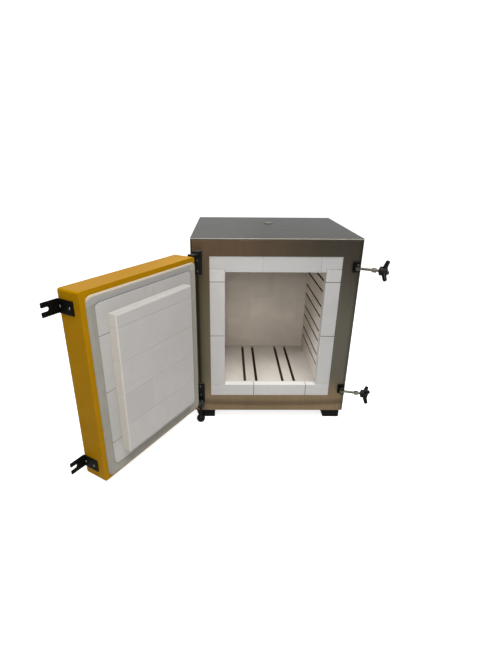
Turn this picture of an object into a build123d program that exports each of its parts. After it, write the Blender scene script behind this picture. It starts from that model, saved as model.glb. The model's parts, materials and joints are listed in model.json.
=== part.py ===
from build123d import *
from math import cos, radians, sin
import os

os.makedirs("parts", exist_ok=True)

# Front-loading ceramic kiln, door swung open. Millimetres. X runs to the right seen from the
# front, Y into the kiln, Z up. The origin is on the floor under the middle of the casing.

# Firing chamber and the brick ring round its mouth; the casing is sized from them
mouth_w, mouth_h = 398.0, 503.0
chamber_d = 380.0
ring_d = 32.0
ring_face = 64.0
ring_behind = 2.0        # face of the ring behind the face of the fascia
brick_l = 230.0
half_l = 152.0
brick_t = 64.0
joint = 0.6
ring_joint = 1.3
notch = 12.5             # the lintel's ends sit over the jambs by this much
mouth_lip = 5.0          # how far the ring stands inside the chamber's walls and roof
course_h = 111.3
first_course = 40.8      # first joint line of the chamber above its floor
least_course = 15.0
lintel_first, sill_first = 211.4, 191.0      # length of each one's first brick
ring_brick = 227.6
back_first = [13.0, 128.0]       # first joint of the rear wall's courses, from the mouth's edge

# Sheet-steel casing on four feet
border_l, border_r = 68.0, 66.0          # from the casing's sides to the brick ring
border_b, border_t = 65.0, 68.0
board_t = 57.0           # insulating board behind the chamber
compartment_d = 69.0     # for the elements' ends, under the rear cover
cab_w = border_l + mouth_w + 2 * ring_face + border_r
cab_d = ring_behind + ring_d + chamber_d + brick_t + board_t + compartment_d
cab_h = border_b + mouth_h + 2 * ring_face + border_t
foot_h = 43.0
sheet = 1.5
bend_r = 2.0
side_return = 4.0        # folded front edge of a side panel, seen from the front
side_lip = 13.0          # how far that fold and the fascia's fold run back
seam = 0.8               # dark gap between the fascia and its neighbours
top_nose = 8.0           # height of the top panel's rounded front fold
rear_return = 18.0
lap_l, lap_r, lap_b, lap_t = 4.0, 6.0, 13.0, 2.0     # fascia over the ring's edges
foot_w, foot_rake, foot_d = 84.0, 13.0, 60.0
foot_in_l, foot_in_r, foot_in_y = 3.0, 10.0, 12.0

# Heating elements in keyhole grooves
groove_slot = 9.5
floor_slot = 9.0
groove_in = 16.0         # bore axis behind the brick face
groove_r = 8.0
coil_gap = 0.3
pair_half = 23.5
floor_pair_half = 25.6
groove_start = 24.5      # front of the side grooves behind the brick ring
floor_groove_start = 3.0
tail_r = 3.0
tail_l = 31.0            # element ends behind the rear panel
first_pair = 96.5        # lowest pair of side grooves above the chamber's floor
top_pair_room = 60.0     # least height over the top pair
floor_pair_apart = 168.1
probe_r, probe_drop, probe_in = 5.0, 40.0, 35.0
probe_head_r, probe_head_l = 15.0, 24.0

# Vent through the roof and top panel
vent_in = 22.0           # in front of the chamber's rear wall
vent_r = 13.0
vent_collar_r = 22.0
vent_collar_t = 1.0
stopper_l, stopper_top, stopper_rim = 70.0, 2.2, 3.0

# Door
door_open = 121.8        # degrees from closed, as it stands
door_over_l, door_over_r = 3.1, -5.6     # door past the brick ring, closed
door_over_b, door_over_t = 6.0, 10.0
door_w = door_over_l + mouth_w + 2 * ring_face + door_over_r
door_h = door_over_b + mouth_h + 2 * ring_face + door_over_t
door_t = 91.0
door_edge_r = 8.0
door_dx, door_dy = 38.9, 16.6    # hinge axis to the door's inner edge, door closed
door_flange = 22.0
gasket_in, gasket_in_hinge, gasket_h = 17.6, 1.5, 7.4
gasket_in_b, gasket_in_t = 14.4, 16.0
gasket_corner = 18.0
slab_in, slab_in_hinge, slab_in_b, slab_in_t = 48.0, 31.5, 38.0, 42.6
slab_proud = 3.8
slab_rows = [88.0, 187.7, 188.9]         # course heights from the bottom, the rest on top
slab_firsts = [[214.0], [201.0], [214.0], [201.0, 239.0]]
plug_in_l, plug_in_r = 6.8, 28.6        # plug inside the mouth, closed
plug_in_b, plug_in_t = 8.7, 10.0
plug_first, plug_course = 106.3, 112.0
plug_proud = 38.4
plug_edge = 3.0

# Hinges
hinge_y = 24.4           # axis in front of the casing's face
hinge_w = 36.0
hinge_leaf_t = 5.0
hinge_tongue_t = 6.0
hinge_end_r = 18.0
hinge_pin_r = 5.0
running_fit = 0.05
lower_leaf_l, upper_leaf_l = 100.0, 98.0
lower_washer_t, upper_washer_t = 10.0, 3.0
hinge_screw_in = [14.0, 56.0]    # from the end of a leaf away from its tongue
door_plate_t = 5.0
door_plate_r = 14.0
door_plate_l = 70.0
plate_screw_in = [20.0, 52.0]    # from the door's top and bottom
pin_in_door = 3.0
ball_r = 18.5
ball_flat = 6.0

# Swing bolts and the slotted plates that they drop into
latch_in = [53.5, 51.0]          # bolts inside the door's bottom and top
latch_t, latch_h = 4.0, 43.0
latch_corner = 2.5
latch_reach, latch_slot_w, latch_slot_in = 57.0, 13.0, 33.0      # past the door's free edge
latch_leaf_in = 25.0             # leaf's edge behind the door's inner flange
latch_screw_in = [14.5, 53.5]
latch_set = 1.0                  # plate in front of the door's outer face
pivot_out, pivot_y = 47.0, 22.0  # past the brick ring and in front of the casing's face
pivot_r = 4.0
ear_gap, ear_t, ear_r = 14.0, 4.0, 11.0
clevis_w, clevis_h, clevis_t = 28.0, 44.0, 4.0
clevis_screw_in = 5.5
rod_r, rod_end = 5.0, 110.0
rod_forward = [14.0, 26.0]       # degrees in front of the casing's face line
eye_r = 10.0
nut_near, nut_h, nut_flats = 52.0, 15.0, 16.0
hub_r, hub_near, hub_l = 17.0, 79.0, 28.0
insert_r, insert_flange_r, insert_flange_t, insert_end = 7.0, 11.0, 2.0, 1.5
arm_root, arm_tip, arm_rise = 8.0, 41.8, 17.5
arm_turn = [16.0, 100.0]

x_left, x_right = -cab_w / 2, cab_w / 2
y_front, y_back = -cab_d / 2, cab_d / 2
z_base, z_top = foot_h, foot_h + cab_h


def facing(y):
    """Sketch plane across the kiln at y: X across, Z up, and it extrudes to the front."""
    return Plane(origin=(0, y, 0), x_dir=(1, 0, 0), z_dir=(0, -1, 0))


def beside(x):
    """Sketch plane along the kiln at x: Y across, Z up, and it extrudes to the right."""
    return Plane(origin=(x, 0, 0), x_dir=(0, 1, 0), z_dir=(1, 0, 0))


def level(z):
    return Plane.XY.offset(z)


def rect(a0, a1, b0, b1, mode=Mode.ADD):
    """Rectangle between two corners of the current sketch."""
    with Locations(((a0 + a1) / 2, (b0 + b1) / 2)):
        Rectangle(a1 - a0, b1 - b0, mode=mode)


def rounded(a0, a1, b0, b1, radius, mode=Mode.ADD):
    with Locations(((a0 + a1) / 2, (b0 + b1) / 2)):
        RectangleRounded(a1 - a0, b1 - b0, radius, mode=mode)


def bricks(columns, rows, mode=Mode.ADD, gap=joint):
    """Bricks between joint lines: each row takes the next list of columns in turn."""
    for i in range(len(rows) - 1):
        marks = columns[i % len(columns)]
        for a0, a1 in zip(marks, marks[1:]):
            rect(a0 + gap / 2, a1 - gap / 2, rows[i] + gap / 2, rows[i + 1] - gap / 2, mode=mode)


def save(name, piece):
    piece.label = name
    export_step(piece, "parts/" + name + ".step")


# Main planes of the brickwork
ring_y = y_front + ring_behind
chamber_y = ring_y + ring_d
back_y = chamber_y + chamber_d
ring_l, ring_r = x_left + border_l, x_right - border_r
ring_b, ring_t = z_base + border_b, z_top - border_t
mouth_l, mouth_r = ring_l + ring_face, ring_r - ring_face
mouth_b, mouth_t = ring_b + ring_face, ring_t - ring_face
mouth_mid = (mouth_l + mouth_r) / 2
wall_l, wall_r = mouth_l - mouth_lip, mouth_r + mouth_lip
roof_z = mouth_t + mouth_lip
core_l, core_r = wall_l - brick_t, wall_r + brick_t
core_b, core_t = mouth_b - brick_t, roof_z + brick_t
core_back = back_y + brick_t
board_back = core_back + board_t
tail_back = board_back + tail_l


def rows_up(low, first, pitch, top, least):
    """Levels from first upwards that leave at least that much under the top."""
    marks = []
    while low + first + pitch * len(marks) < top - least:
        marks.append(low + first + pitch * len(marks))
    return marks


courses = [core_b] + rows_up(mouth_b, first_course, course_h, roof_z, least_course) + [roof_z]
pair_z = rows_up(mouth_b, first_pair, course_h, mouth_t, top_pair_room)
floor_pair_x = [mouth_mid - floor_pair_apart / 2, mouth_mid + floor_pair_apart / 2]
vent_x, vent_y = mouth_mid, back_y - vent_in


# Front of the casing

def side_panel(name, edge, into):
    """Side sheet folded round the front and rear edges."""
    front_lip = edge + into * (side_return - sheet / 2)
    outer = edge + into * sheet / 2
    with BuildPart() as panel:
        with BuildSketch(level(z_base)):
            with BuildLine() as fold:
                FilletPolyline(
                    (front_lip, y_front + side_lip),
                    (front_lip, y_front + sheet / 2),
                    (outer, y_front + sheet / 2),
                    (outer, y_back - sheet * 1.5),
                    (edge + into * rear_return, y_back - sheet * 1.5),
                    radius=sheet * 0.8,
                )
            trace(line_width=sheet)
        extrude(amount=fascia_t - z_base)
    save(name, panel.part)


fascia_l, fascia_r = x_left + side_return + seam, x_right - side_return - seam
fascia_t = z_top - top_nose - seam
side_panel("side_panel_left", x_left, 1)
side_panel("side_panel_right", x_right, -1)

with BuildPart() as fascia:
    with BuildSketch(facing(y_front + sheet)):
        rect(fascia_l, fascia_r, z_base, fascia_t)
        rect(ring_l + lap_l, ring_r - lap_r, ring_b + lap_b, ring_t - lap_t, mode=Mode.SUBTRACT)
    extrude(amount=sheet)
    with BuildSketch(facing(y_front + side_lip)):
        rect(fascia_l, fascia_l + sheet, z_base, fascia_t)
        rect(fascia_r - sheet, fascia_r, z_base, fascia_t)
    extrude(amount=side_lip - sheet)
    fillet(fascia.edges().filter_by(Axis.Z).group_by(Axis.Y)[0].sort_by(Axis.X)[0], sheet * 0.9)
    fillet(fascia.edges().filter_by(Axis.Z).group_by(Axis.Y)[0].sort_by(Axis.X)[-1], sheet * 0.9)
save("front_fascia", fascia.part)

# The top is a shallow lid, rounded along the front
with BuildPart() as top_panel:
    with BuildSketch(level(z_top - top_nose)):
        rect(x_left, x_right, y_front, y_back)
    extrude(amount=top_nose)
    rim = top_panel.faces().sort_by(Axis.Z)[-1].edges().sort_by(Axis.Y)
    fillet(rim[0], top_nose - sheet)
    rim = top_panel.faces().sort_by(Axis.Z)[-1].edges().filter_by(Axis.Y)
    fillet(rim, bend_r)
    offset(amount=-sheet, openings=top_panel.faces().sort_by(Axis.Z)[0])
    with BuildSketch(level(z_top - sheet)):
        with Locations((vent_x, vent_y)):
            Circle(vent_r + 2)
    extrude(amount=sheet, mode=Mode.SUBTRACT)
save("top_panel", top_panel.part)

with BuildPart() as bottom_tray:
    with BuildSketch(level(z_base)):
        rect(x_left + bend_r, x_right - bend_r, y_front + side_lip, y_back - 2 * sheet)
    extrude(amount=sheet)
    with BuildSketch(beside(x_left + side_return + sheet)):
        rect(y_front + side_lip, y_front + side_lip + sheet, z_base, z_base + rear_return)
        rect(y_back - 4 * sheet, y_back - 3 * sheet, z_base, z_base + rear_return)
    extrude(amount=cab_w - 2 * (side_return + sheet))
save("bottom_tray", bottom_tray.part)

# Rear bulkhead, element compartment and its louvred cover
comp_l, comp_r = x_left + 2 * sheet, x_right - 2 * sheet
louvre_w, louvre_h, louvre_pitch, louvre_rows = 150.0, 5.0, 18.0, 8
louvre_apart = 198.0
gland_x, gland_z = x_right - 100.0, z_base + 70.0
gland_r = 5.0
cover_top = fascia_t

tails = [(wall_l - groove_in, z + s * pair_half) for z in pair_z for s in (-1, 1)]
tails += [(wall_r + groove_in, z + s * pair_half) for z in pair_z for s in (-1, 1)]
tails += [(x + s * floor_pair_half, mouth_b - groove_in) for x in floor_pair_x for s in (-1, 1)]
probe_x, probe_z = mouth_mid, mouth_t - probe_drop

with BuildPart() as rear_panel:
    with BuildSketch(facing(board_back + sheet)):
        rect(comp_l, comp_r, z_base + 2 * sheet, z_top - 2 * sheet)
        with Locations(*tails):
            Circle(groove_r, mode=Mode.SUBTRACT)
        with Locations((probe_x, probe_z)):
            Circle(groove_r, mode=Mode.SUBTRACT)
    extrude(amount=sheet)
save("rear_panel", rear_panel.part)

with BuildPart() as rear_cover:
    with BuildSketch(facing(y_back)):
        rect(x_left + bend_r, x_right - bend_r, z_base + 2, cover_top)
        for row_z in (z_base + 60, cover_top - 60 - louvre_pitch * (louvre_rows - 1)):
            for row in range(louvre_rows):
                with Locations((-louvre_apart / 2, row_z + row * louvre_pitch),
                               (louvre_apart / 2, row_z + row * louvre_pitch)):
                    SlotOverall(louvre_w, louvre_h, mode=Mode.SUBTRACT)
        with Locations((gland_x, gland_z)):
            Circle(gland_r + 3, mode=Mode.SUBTRACT)
    extrude(amount=sheet)
save("rear_cover", rear_cover.part)

with BuildPart() as gland:
    with BuildSketch(facing(y_back + 6)):
        with Locations((gland_x, gland_z)):
            RegularPolygon(13, 6)
            Circle(gland_r, mode=Mode.SUBTRACT)
    extrude(amount=6)
    with BuildSketch(facing(y_back + 24)):
        with Locations((gland_x, gland_z)):
            Circle(11)
            Circle(gland_r, mode=Mode.SUBTRACT)
    extrude(amount=18)
    with BuildSketch(facing(y_back)):
        with Locations((gland_x, gland_z)):
            Circle(gland_r + 3)
            Circle(gland_r, mode=Mode.SUBTRACT)
    extrude(amount=12)
    fillet(gland.edges().filter_by(GeomType.CIRCLE).group_by(Axis.Y)[-1].sort_by(SortBy.RADIUS)[-1],
           4)
save("cable_gland", gland.part)

# Insulating boards between the casing and the bricks
board_l, board_r = x_left + bend_r, x_right - bend_r
board_b, board_t = z_base + sheet, z_top - sheet
board_front = y_front + side_lip + 2 * sheet
board_rear = board_back

with BuildPart() as boards:
    with BuildSketch(level(board_b)):
        rect(board_l, core_l - joint, board_front, board_rear)
        rect(core_r + joint, board_r, board_front, board_rear)
    extrude(amount=board_t - board_b)
    with BuildSketch(beside(core_l)):
        rect(board_front, board_rear, board_b, core_b)
        rect(board_front, board_rear, core_t, board_t)
        rect(core_back, board_rear, core_b + joint, core_t - joint)
    extrude(amount=core_r - core_l)
    with BuildSketch(facing(board_rear)):
        with Locations(*tails):
            Circle(tail_r + coil_gap)
        with Locations((probe_x, probe_z)):
            Circle(probe_r + coil_gap)
    extrude(amount=board_rear - core_back, mode=Mode.SUBTRACT)
    with BuildSketch(level(core_t)):
        with Locations((vent_x, vent_y)):
            Circle(vent_r)
    extrude(amount=board_t - core_t, mode=Mode.SUBTRACT)
save("backup_boards", boards.part)


# Brick ring round the mouth

def jamb(name, x0, x1):
    with BuildPart() as bricks_up:
        with BuildSketch(facing(chamber_y)):
            bricks([[x0 - ring_joint / 2, x1 + ring_joint / 2]],
                   [mouth_b] + rows_up(mouth_b, brick_l + 2, brick_l + 1, mouth_t, least_course)
                   + [mouth_t + notch], gap=ring_joint)
        extrude(amount=ring_d)
    save(name, bricks_up.part)


jamb("jamb_bricks_left", ring_l, mouth_l)
jamb("jamb_bricks_right", mouth_r, ring_r)

with BuildPart() as lintel:
    with BuildSketch(facing(chamber_y)):
        bricks([[ring_l] + rows_up(ring_l, lintel_first, ring_brick, ring_r, least_course)
                + [ring_r]], [mouth_t - ring_joint / 2, ring_t], gap=ring_joint)
        for x0, x1 in ((ring_l, mouth_l + ring_joint), (mouth_r - ring_joint, ring_r)):
            rect(x0, x1, mouth_t - ring_joint, mouth_t + notch, mode=Mode.SUBTRACT)
    extrude(amount=ring_d)
save("lintel_bricks", lintel.part)

with BuildPart() as sill:
    with BuildSketch(facing(chamber_y)):
        bricks([[ring_l] + rows_up(ring_l, sill_first, ring_brick, ring_r, least_course)
                + [ring_r]], [ring_b, mouth_b + ring_joint / 2], gap=ring_joint)
    extrude(amount=ring_d)
save("sill_bricks", sill.part)


# Chamber brickwork

def keyhole(at, slot, face, into, vertical):
    """Groove section: a narrow slot from the brick face into a round bore for the coil."""
    if vertical:
        rect(at - slot / 2, at + slot / 2, face - groove_in, face)
        with Locations((at, face - groove_in)):
            Circle(groove_r)
    else:
        rect(min(face, face + into * groove_in), max(face, face + into * groove_in),
             at - slot / 2, at + slot / 2)
        with Locations((face + into * groove_in, at)):
            Circle(groove_r)


def wall(name, face, into):
    """Side wall laid in courses, grooved on its chamber face; the bores join in front."""
    outer = face + into * brick_t
    with BuildPart() as courses_up:
        with BuildSketch(beside(min(face, outer))):
            bricks([[chamber_y, chamber_y + brick_l, back_y],
                    [chamber_y, chamber_y + half_l, back_y]], courses)
        extrude(amount=brick_t)
        with BuildSketch(facing(back_y)):
            for z in pair_z:
                keyhole(z - pair_half, groove_slot, face, into, False)
                keyhole(z + pair_half, groove_slot, face, into, False)
        extrude(amount=chamber_d - groove_start, mode=Mode.SUBTRACT)
        with BuildSketch(beside(face + into * groove_in - groove_r)):
            for z in pair_z:
                with Locations((chamber_y + groove_start + groove_r, z)):
                    SlotCenterToCenter(2 * pair_half, 2 * groove_r, rotation=90)
        extrude(amount=2 * groove_r, mode=Mode.SUBTRACT)
    save(name, courses_up.part)


wall("wall_bricks_left", wall_l, -1)
wall("wall_bricks_right", wall_r, 1)

floor_marks = [wall_l]
for pair in floor_pair_x:
    floor_marks += [pair - course_h / 2, pair + course_h / 2]
floor_marks.append(wall_r)

with BuildPart() as floor:
    with BuildSketch(level(core_b)):
        for i, (x0, x1) in enumerate(zip(floor_marks, floor_marks[1:])):
            split_y = chamber_y + (brick_l if i % 2 else half_l)
            for y0, y1 in ((chamber_y, split_y), (split_y, back_y)):
                rect(x0 + joint / 2, x1 - joint / 2, y0 + joint / 2, y1 - joint / 2)
    extrude(amount=brick_t)
    with BuildSketch(facing(back_y)):
        for pair in floor_pair_x:
            keyhole(pair - floor_pair_half, floor_slot, mouth_b, -1, True)
            keyhole(pair + floor_pair_half, floor_slot, mouth_b, -1, True)
    extrude(amount=chamber_d - floor_groove_start, mode=Mode.SUBTRACT)
    with BuildSketch(level(mouth_b - groove_in - groove_r)):
        for pair in floor_pair_x:
            with Locations((pair, chamber_y + floor_groove_start + groove_r)):
                SlotCenterToCenter(2 * floor_pair_half, 2 * groove_r)
    extrude(amount=2 * groove_r, mode=Mode.SUBTRACT)
save("floor_bricks", floor.part)

with BuildPart() as roof:
    with BuildSketch(level(roof_z)):
        bricks([[core_l + i * (core_r - core_l) / 5 for i in range(6)]],
               [chamber_y, chamber_y + brick_l, core_back])
        with Locations((vent_x, vent_y)):
            Circle(vent_r, mode=Mode.SUBTRACT)
    extrude(amount=brick_t)
save("roof_bricks", roof.part)

back_marks = [[core_l] + rows_up(mouth_l, first, brick_l, core_r, 2 * least_course) + [core_r]
              for first in back_first]

with BuildPart() as back_wall:
    with BuildSketch(facing(core_back)):
        bricks(back_marks[::-1], courses)
        with Locations(*tails):
            Circle(tail_r + coil_gap, mode=Mode.SUBTRACT)
        with Locations((probe_x, probe_z)):
            Circle(probe_r + coil_gap, mode=Mode.SUBTRACT)
    extrude(amount=brick_t)
save("back_wall_bricks", back_wall.part)


# Heating elements: the coil's envelope as a hairpin, with straight tails through the back

def hairpins(name, pairs, start):
    """pairs holds the two (x, z) bore axes of each hairpin; start is its front bend."""
    coil_r = groove_r - coil_gap
    with BuildPart() as wound:
        for (xa, za), (xb, zb) in pairs:
            y0, y1 = chamber_y + start + groove_r, back_y - joint
            with BuildLine() as route:
                FilletPolyline((xa, y1, za), (xa, y0, za), (xb, y0, zb), (xb, y1, zb),
                               radius=coil_r * 1.1)
            with BuildSketch(Plane(origin=route.line @ 0, z_dir=route.line % 0)):
                Circle(coil_r)
            sweep()
            with BuildSketch(facing(y1)):
                with Locations((xa, za), (xb, zb)):
                    Circle(tail_r)
            extrude(amount=y1 - tail_back)
    save(name, wound.part)


side_pairs = [(z - pair_half, z + pair_half) for z in pair_z]
hairpins("elements_left", [((wall_l - groove_in, a), (wall_l - groove_in, b))
                           for a, b in side_pairs], groove_start)
hairpins("elements_right", [((wall_r + groove_in, a), (wall_r + groove_in, b))
                            for a, b in side_pairs], groove_start)
hairpins("elements_floor", [((x - floor_pair_half, mouth_b - groove_in),
                             (x + floor_pair_half, mouth_b - groove_in))
                            for x in floor_pair_x], floor_groove_start)

with BuildPart() as terminals:
    with BuildSketch(facing(tail_back)):
        with Locations(*tails):
            Circle(tail_r * 2)
            Circle(tail_r, mode=Mode.SUBTRACT)
    extrude(amount=16)
save("element_terminals", terminals.part)

with BuildPart() as probe:
    with BuildSketch(facing(board_back + sheet)):
        with Locations((probe_x, probe_z)):
            Circle(probe_r)
    extrude(amount=board_back + sheet - back_y + probe_in)
    with BuildSketch(facing(board_back + probe_head_l)):
        with Locations((probe_x, probe_z)):
            Circle(probe_head_r)
    extrude(amount=probe_head_l - sheet)
save("thermocouple", probe.part)

# Vent collar and its lift-out stopper
with BuildPart() as collar:
    with BuildSketch(level(z_top)):
        with Locations((vent_x, vent_y)):
            Circle(vent_collar_r)
            Circle(vent_r + 1, mode=Mode.SUBTRACT)
    extrude(amount=vent_collar_t)
save("vent_collar", collar.part)

with BuildPart() as stopper:
    with BuildSketch(level(z_top + vent_collar_t)):
        with Locations((vent_x, vent_y)):
            Circle(vent_r + stopper_rim)
    extrude(amount=stopper_top)
    fillet(stopper.edges().group_by(Axis.Z)[-1], 1)
    with BuildSketch(level(z_top + vent_collar_t)):
        with Locations((vent_x, vent_y)):
            Circle(vent_r - 1)
    extrude(amount=-stopper_l, taper=1)
save("vent_plug", stopper.part)


# Feet: rubber blocks with one raked end

def foot(name, x0, y0):
    with BuildPart() as block:
        with BuildSketch(facing(y0 + foot_d)):
            with BuildLine():
                Polyline((x0 + foot_rake, 0), (x0 + foot_w, 0), (x0 + foot_w, foot_h),
                         (x0, foot_h), close=True)
            make_face()
        extrude(amount=foot_d)
        chamfer(block.edges().group_by(Axis.Z)[0], 2)
    save(name, block.part)


foot_l, foot_r = x_left + foot_in_l, x_right - foot_in_r - foot_w
foot("foot_front_left", foot_l, y_front + foot_in_y)
foot("foot_front_right", foot_r, y_front + foot_in_y)
foot("foot_rear_left", foot_l, y_back - foot_in_y - foot_d)
foot("foot_rear_right", foot_r, y_back - foot_in_y - foot_d)

# Hinge brackets on the casing
axis_x, axis_y = ring_l - door_over_l - door_dx, y_front - hinge_y
door_bottom = ring_b - door_over_b
door_top = door_bottom + door_h
upper_tongue = door_top + door_plate_t + upper_washer_t
lower_tongue = door_bottom - door_plate_t - lower_washer_t - hinge_tongue_t
lower_leaf = (lower_tongue, lower_tongue + lower_leaf_l)
upper_leaf = (upper_tongue + hinge_tongue_t - upper_leaf_l, upper_tongue + hinge_tongue_t)


def bracket(name, leaf, tongue_z):
    """Angle bracket: a leaf on the fascia and a round-ended tongue that carries the pin."""
    with BuildPart() as angle:
        with BuildSketch(facing(y_front)):
            rect(axis_x - hinge_w / 2, axis_x + hinge_w / 2, leaf[0], leaf[1])
        extrude(amount=hinge_leaf_t)
        with BuildSketch(level(tongue_z)):
            rect(axis_x - hinge_w / 2, axis_x + hinge_w / 2, axis_y, y_front)
            with Locations((axis_x, axis_y)):
                Circle(hinge_end_r)
                Circle(hinge_pin_r, mode=Mode.SUBTRACT)
        extrude(amount=hinge_tongue_t)
    save(name, angle.part)


bracket("hinge_bracket_upper", upper_leaf, upper_tongue)
bracket("hinge_bracket_lower", lower_leaf, lower_tongue)

with BuildPart() as upper_pin:
    with BuildSketch(level(door_top - pin_in_door)):
        with Locations((axis_x, axis_y)):
            Circle(hinge_pin_r)
    extrude(amount=upper_tongue + hinge_tongue_t - door_top + pin_in_door)
    with BuildSketch(level(upper_tongue + hinge_tongue_t)):
        with Locations((axis_x, axis_y)):
            Circle(hinge_pin_r * 1.6)
    extrude(amount=3)
    fillet(upper_pin.edges().group_by(Axis.Z)[-1], 1.5)
save("hinge_pin_upper", upper_pin.part)

with BuildPart() as washers:
    for z0, z1 in ((door_top + door_plate_t, upper_tongue),
                   (lower_tongue + hinge_tongue_t, door_bottom - door_plate_t)):
        with BuildSketch(level(z0)):
            with Locations((axis_x, axis_y)):
                Circle(hinge_pin_r * 2.2)
                Circle(hinge_pin_r, mode=Mode.SUBTRACT)
        extrude(amount=z1 - z0)
save("hinge_washers", washers.part)

# The lower pin runs on down to a ball that stands on the floor under the door's weight
with BuildPart() as ball_foot:
    with BuildSketch(Plane(origin=(axis_x, axis_y, 0), x_dir=(1, 0, 0), z_dir=(0, -1, 0))):
        with BuildLine():
            ball_z = (ball_r ** 2 - ball_flat ** 2) ** 0.5
            Polyline((0, door_bottom + 4), (0, 0), (ball_flat, 0))
            ThreePointArc((ball_flat, 0), (ball_r, ball_z),
                          (hinge_pin_r, ball_z + (ball_r ** 2 - hinge_pin_r ** 2) ** 0.5))
            Polyline((hinge_pin_r, ball_z + (ball_r ** 2 - hinge_pin_r ** 2) ** 0.5),
                     (hinge_pin_r, door_bottom + 2.5), (hinge_pin_r - 1.5, door_bottom + 4),
                     (0, door_bottom + 4))
        make_face()
    revolve(axis=Axis((axis_x, axis_y, 0), (0, 0, 1)))
save("ball_foot", ball_foot.part)

# Door, built where it stands open
swing = radians(door_open)
along = Vector(cos(swing), -sin(swing), 0)
inward = Vector(sin(swing), cos(swing), 0)
edge = Vector(axis_x, axis_y, 0) + along * door_dx + inward * door_dy


def door_face(depth):
    """Plane of the door at a depth behind its inner flange: x along its width, y up."""
    return Plane(origin=edge - inward * depth, x_dir=along, z_dir=-inward)


def door_level(z):
    """Level plane on the door: x along its width, y towards the kiln side of the door."""
    return Plane(origin=edge + Vector(0, 0, z), x_dir=along, z_dir=(0, 0, 1))


outward = Axis((0, 0, 0), tuple(-inward))

# Extents of the brick slab and of the plug on it, along the door and up
slab_u0, slab_u1 = slab_in_hinge, door_w - slab_in
slab_z0, slab_z1 = door_bottom + slab_in_b, door_top - slab_in_t
plug_u0 = door_over_l + ring_face + plug_in_l
plug_u1 = door_w - door_over_r - ring_face - plug_in_r
plug_z0, plug_z1 = mouth_b + plug_in_b, mouth_t - plug_in_t

with BuildPart() as shell:
    with BuildSketch(door_face(0)):
        rounded(0, door_w, door_bottom, door_top, door_edge_r)
    extrude(amount=door_t)
    fillet(shell.faces().sort_by(outward)[-1].edges(), door_edge_r)
    offset(amount=-sheet, openings=shell.faces().sort_by(outward)[0])
    with BuildSketch(door_face(0)):
        rounded(0, door_w, door_bottom, door_top, door_edge_r)
        rect(door_flange, door_w - door_flange, door_bottom + door_flange,
             door_top - door_flange, mode=Mode.SUBTRACT)
    extrude(amount=sheet)
save("door_shell", shell.part)

with BuildPart() as door_board:
    with BuildSketch(door_face(sheet)):
        rounded(sheet, door_w - sheet, door_bottom + sheet, door_top - sheet, door_edge_r - sheet)
    extrude(amount=door_t - 2 * sheet)
    fillet(door_board.faces().sort_by(outward)[-1].edges(), door_edge_r - sheet)
    with BuildSketch(door_face(0)):
        rect(door_flange, door_w - door_flange, door_bottom + door_flange, door_top - door_flange)
    extrude(amount=sheet)
    with BuildSketch(door_face(0)):
        rect(slab_u0, slab_u1, slab_z0, slab_z1)
    extrude(amount=brick_t - slab_proud, mode=Mode.SUBTRACT)
save("door_insulation", door_board.part)

with BuildPart() as slab:
    with BuildSketch(door_face(-slab_proud)):
        bricks([[slab_u0] + [slab_u0 + first for first in firsts] + [slab_u1]
                for firsts in slab_firsts],
               [slab_z0 + sum(slab_rows[:i]) for i in range(len(slab_rows) + 1)] + [slab_z1])
    extrude(amount=brick_t)
save("door_base_bricks", slab.part)

plug_rows = [plug_z0] + rows_up(plug_z0, plug_first, plug_course, plug_z1, least_course)
plug_rows.append(plug_z1)
plug_columns = [[plug_u0, plug_u1 - brick_l, plug_u1], [plug_u0, plug_u0 + brick_l, plug_u1]]

with BuildPart() as plug:
    with BuildSketch(door_face(-plug_proud)):
        rect(plug_u0, plug_u1, plug_z0, plug_z1)
    extrude(amount=plug_proud - slab_proud)
    chamfer(plug.faces().sort_by(outward)[0].edges(), plug_edge)
    with BuildSketch(door_face(-plug_proud)):
        rect(plug_u0, plug_u1, plug_z0, plug_z1)
        bricks([[m[0] - joint, m[1], m[2] + joint] for m in plug_columns],
               [plug_rows[0] - joint] + plug_rows[1:-1] + [plug_rows[-1] + joint],
               mode=Mode.SUBTRACT)
    extrude(amount=plug_proud - slab_proud, mode=Mode.SUBTRACT)
save("door_plug_bricks", plug.part)

with BuildPart() as gasket:
    with BuildSketch(door_face(-gasket_h)):
        rounded(gasket_in_hinge, door_w - gasket_in, door_bottom + gasket_in_b,
                door_top - gasket_in_t, gasket_corner)
        rect(slab_u0 - joint, slab_u1 + joint, slab_z0 - joint, slab_z1 + joint,
             mode=Mode.SUBTRACT)
    extrude(amount=gasket_h)
    fillet(gasket.faces().sort_by(outward)[0].edges(), 3)
save("door_gasket", gasket.part)


def door_plate(name, lug_z, leaf_z):
    """Angle: a leaf screwed to the door's hinge-side edge and a lug out to the hinge axis."""
    n0, n1 = -door_dy - door_plate_r, -door_dy + door_plate_r
    with BuildPart() as strap:
        with BuildSketch(door_level(lug_z)):
            rect(-door_dx, 0, n0, n1)
            with Locations((-door_dx, -door_dy)):
                Circle(door_plate_r)
                Circle(hinge_pin_r + running_fit, mode=Mode.SUBTRACT)
        extrude(amount=door_plate_t)
        with BuildSketch(door_level(leaf_z)):
            rect(-door_plate_t, 0, n0, n1)
        extrude(amount=door_plate_l + door_plate_t)
    save(name, strap.part)


door_plate("door_hinge_plate_upper", door_top, door_top - door_plate_l)
door_plate("door_hinge_plate_lower", door_bottom - door_plate_t, door_bottom - door_plate_t)


latch_z = [door_bottom + latch_in[0], door_top - latch_in[1]]
latch_tip = door_w + latch_reach
latch_slot_end = door_w + latch_slot_in
latch_back = door_t - latch_set


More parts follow.
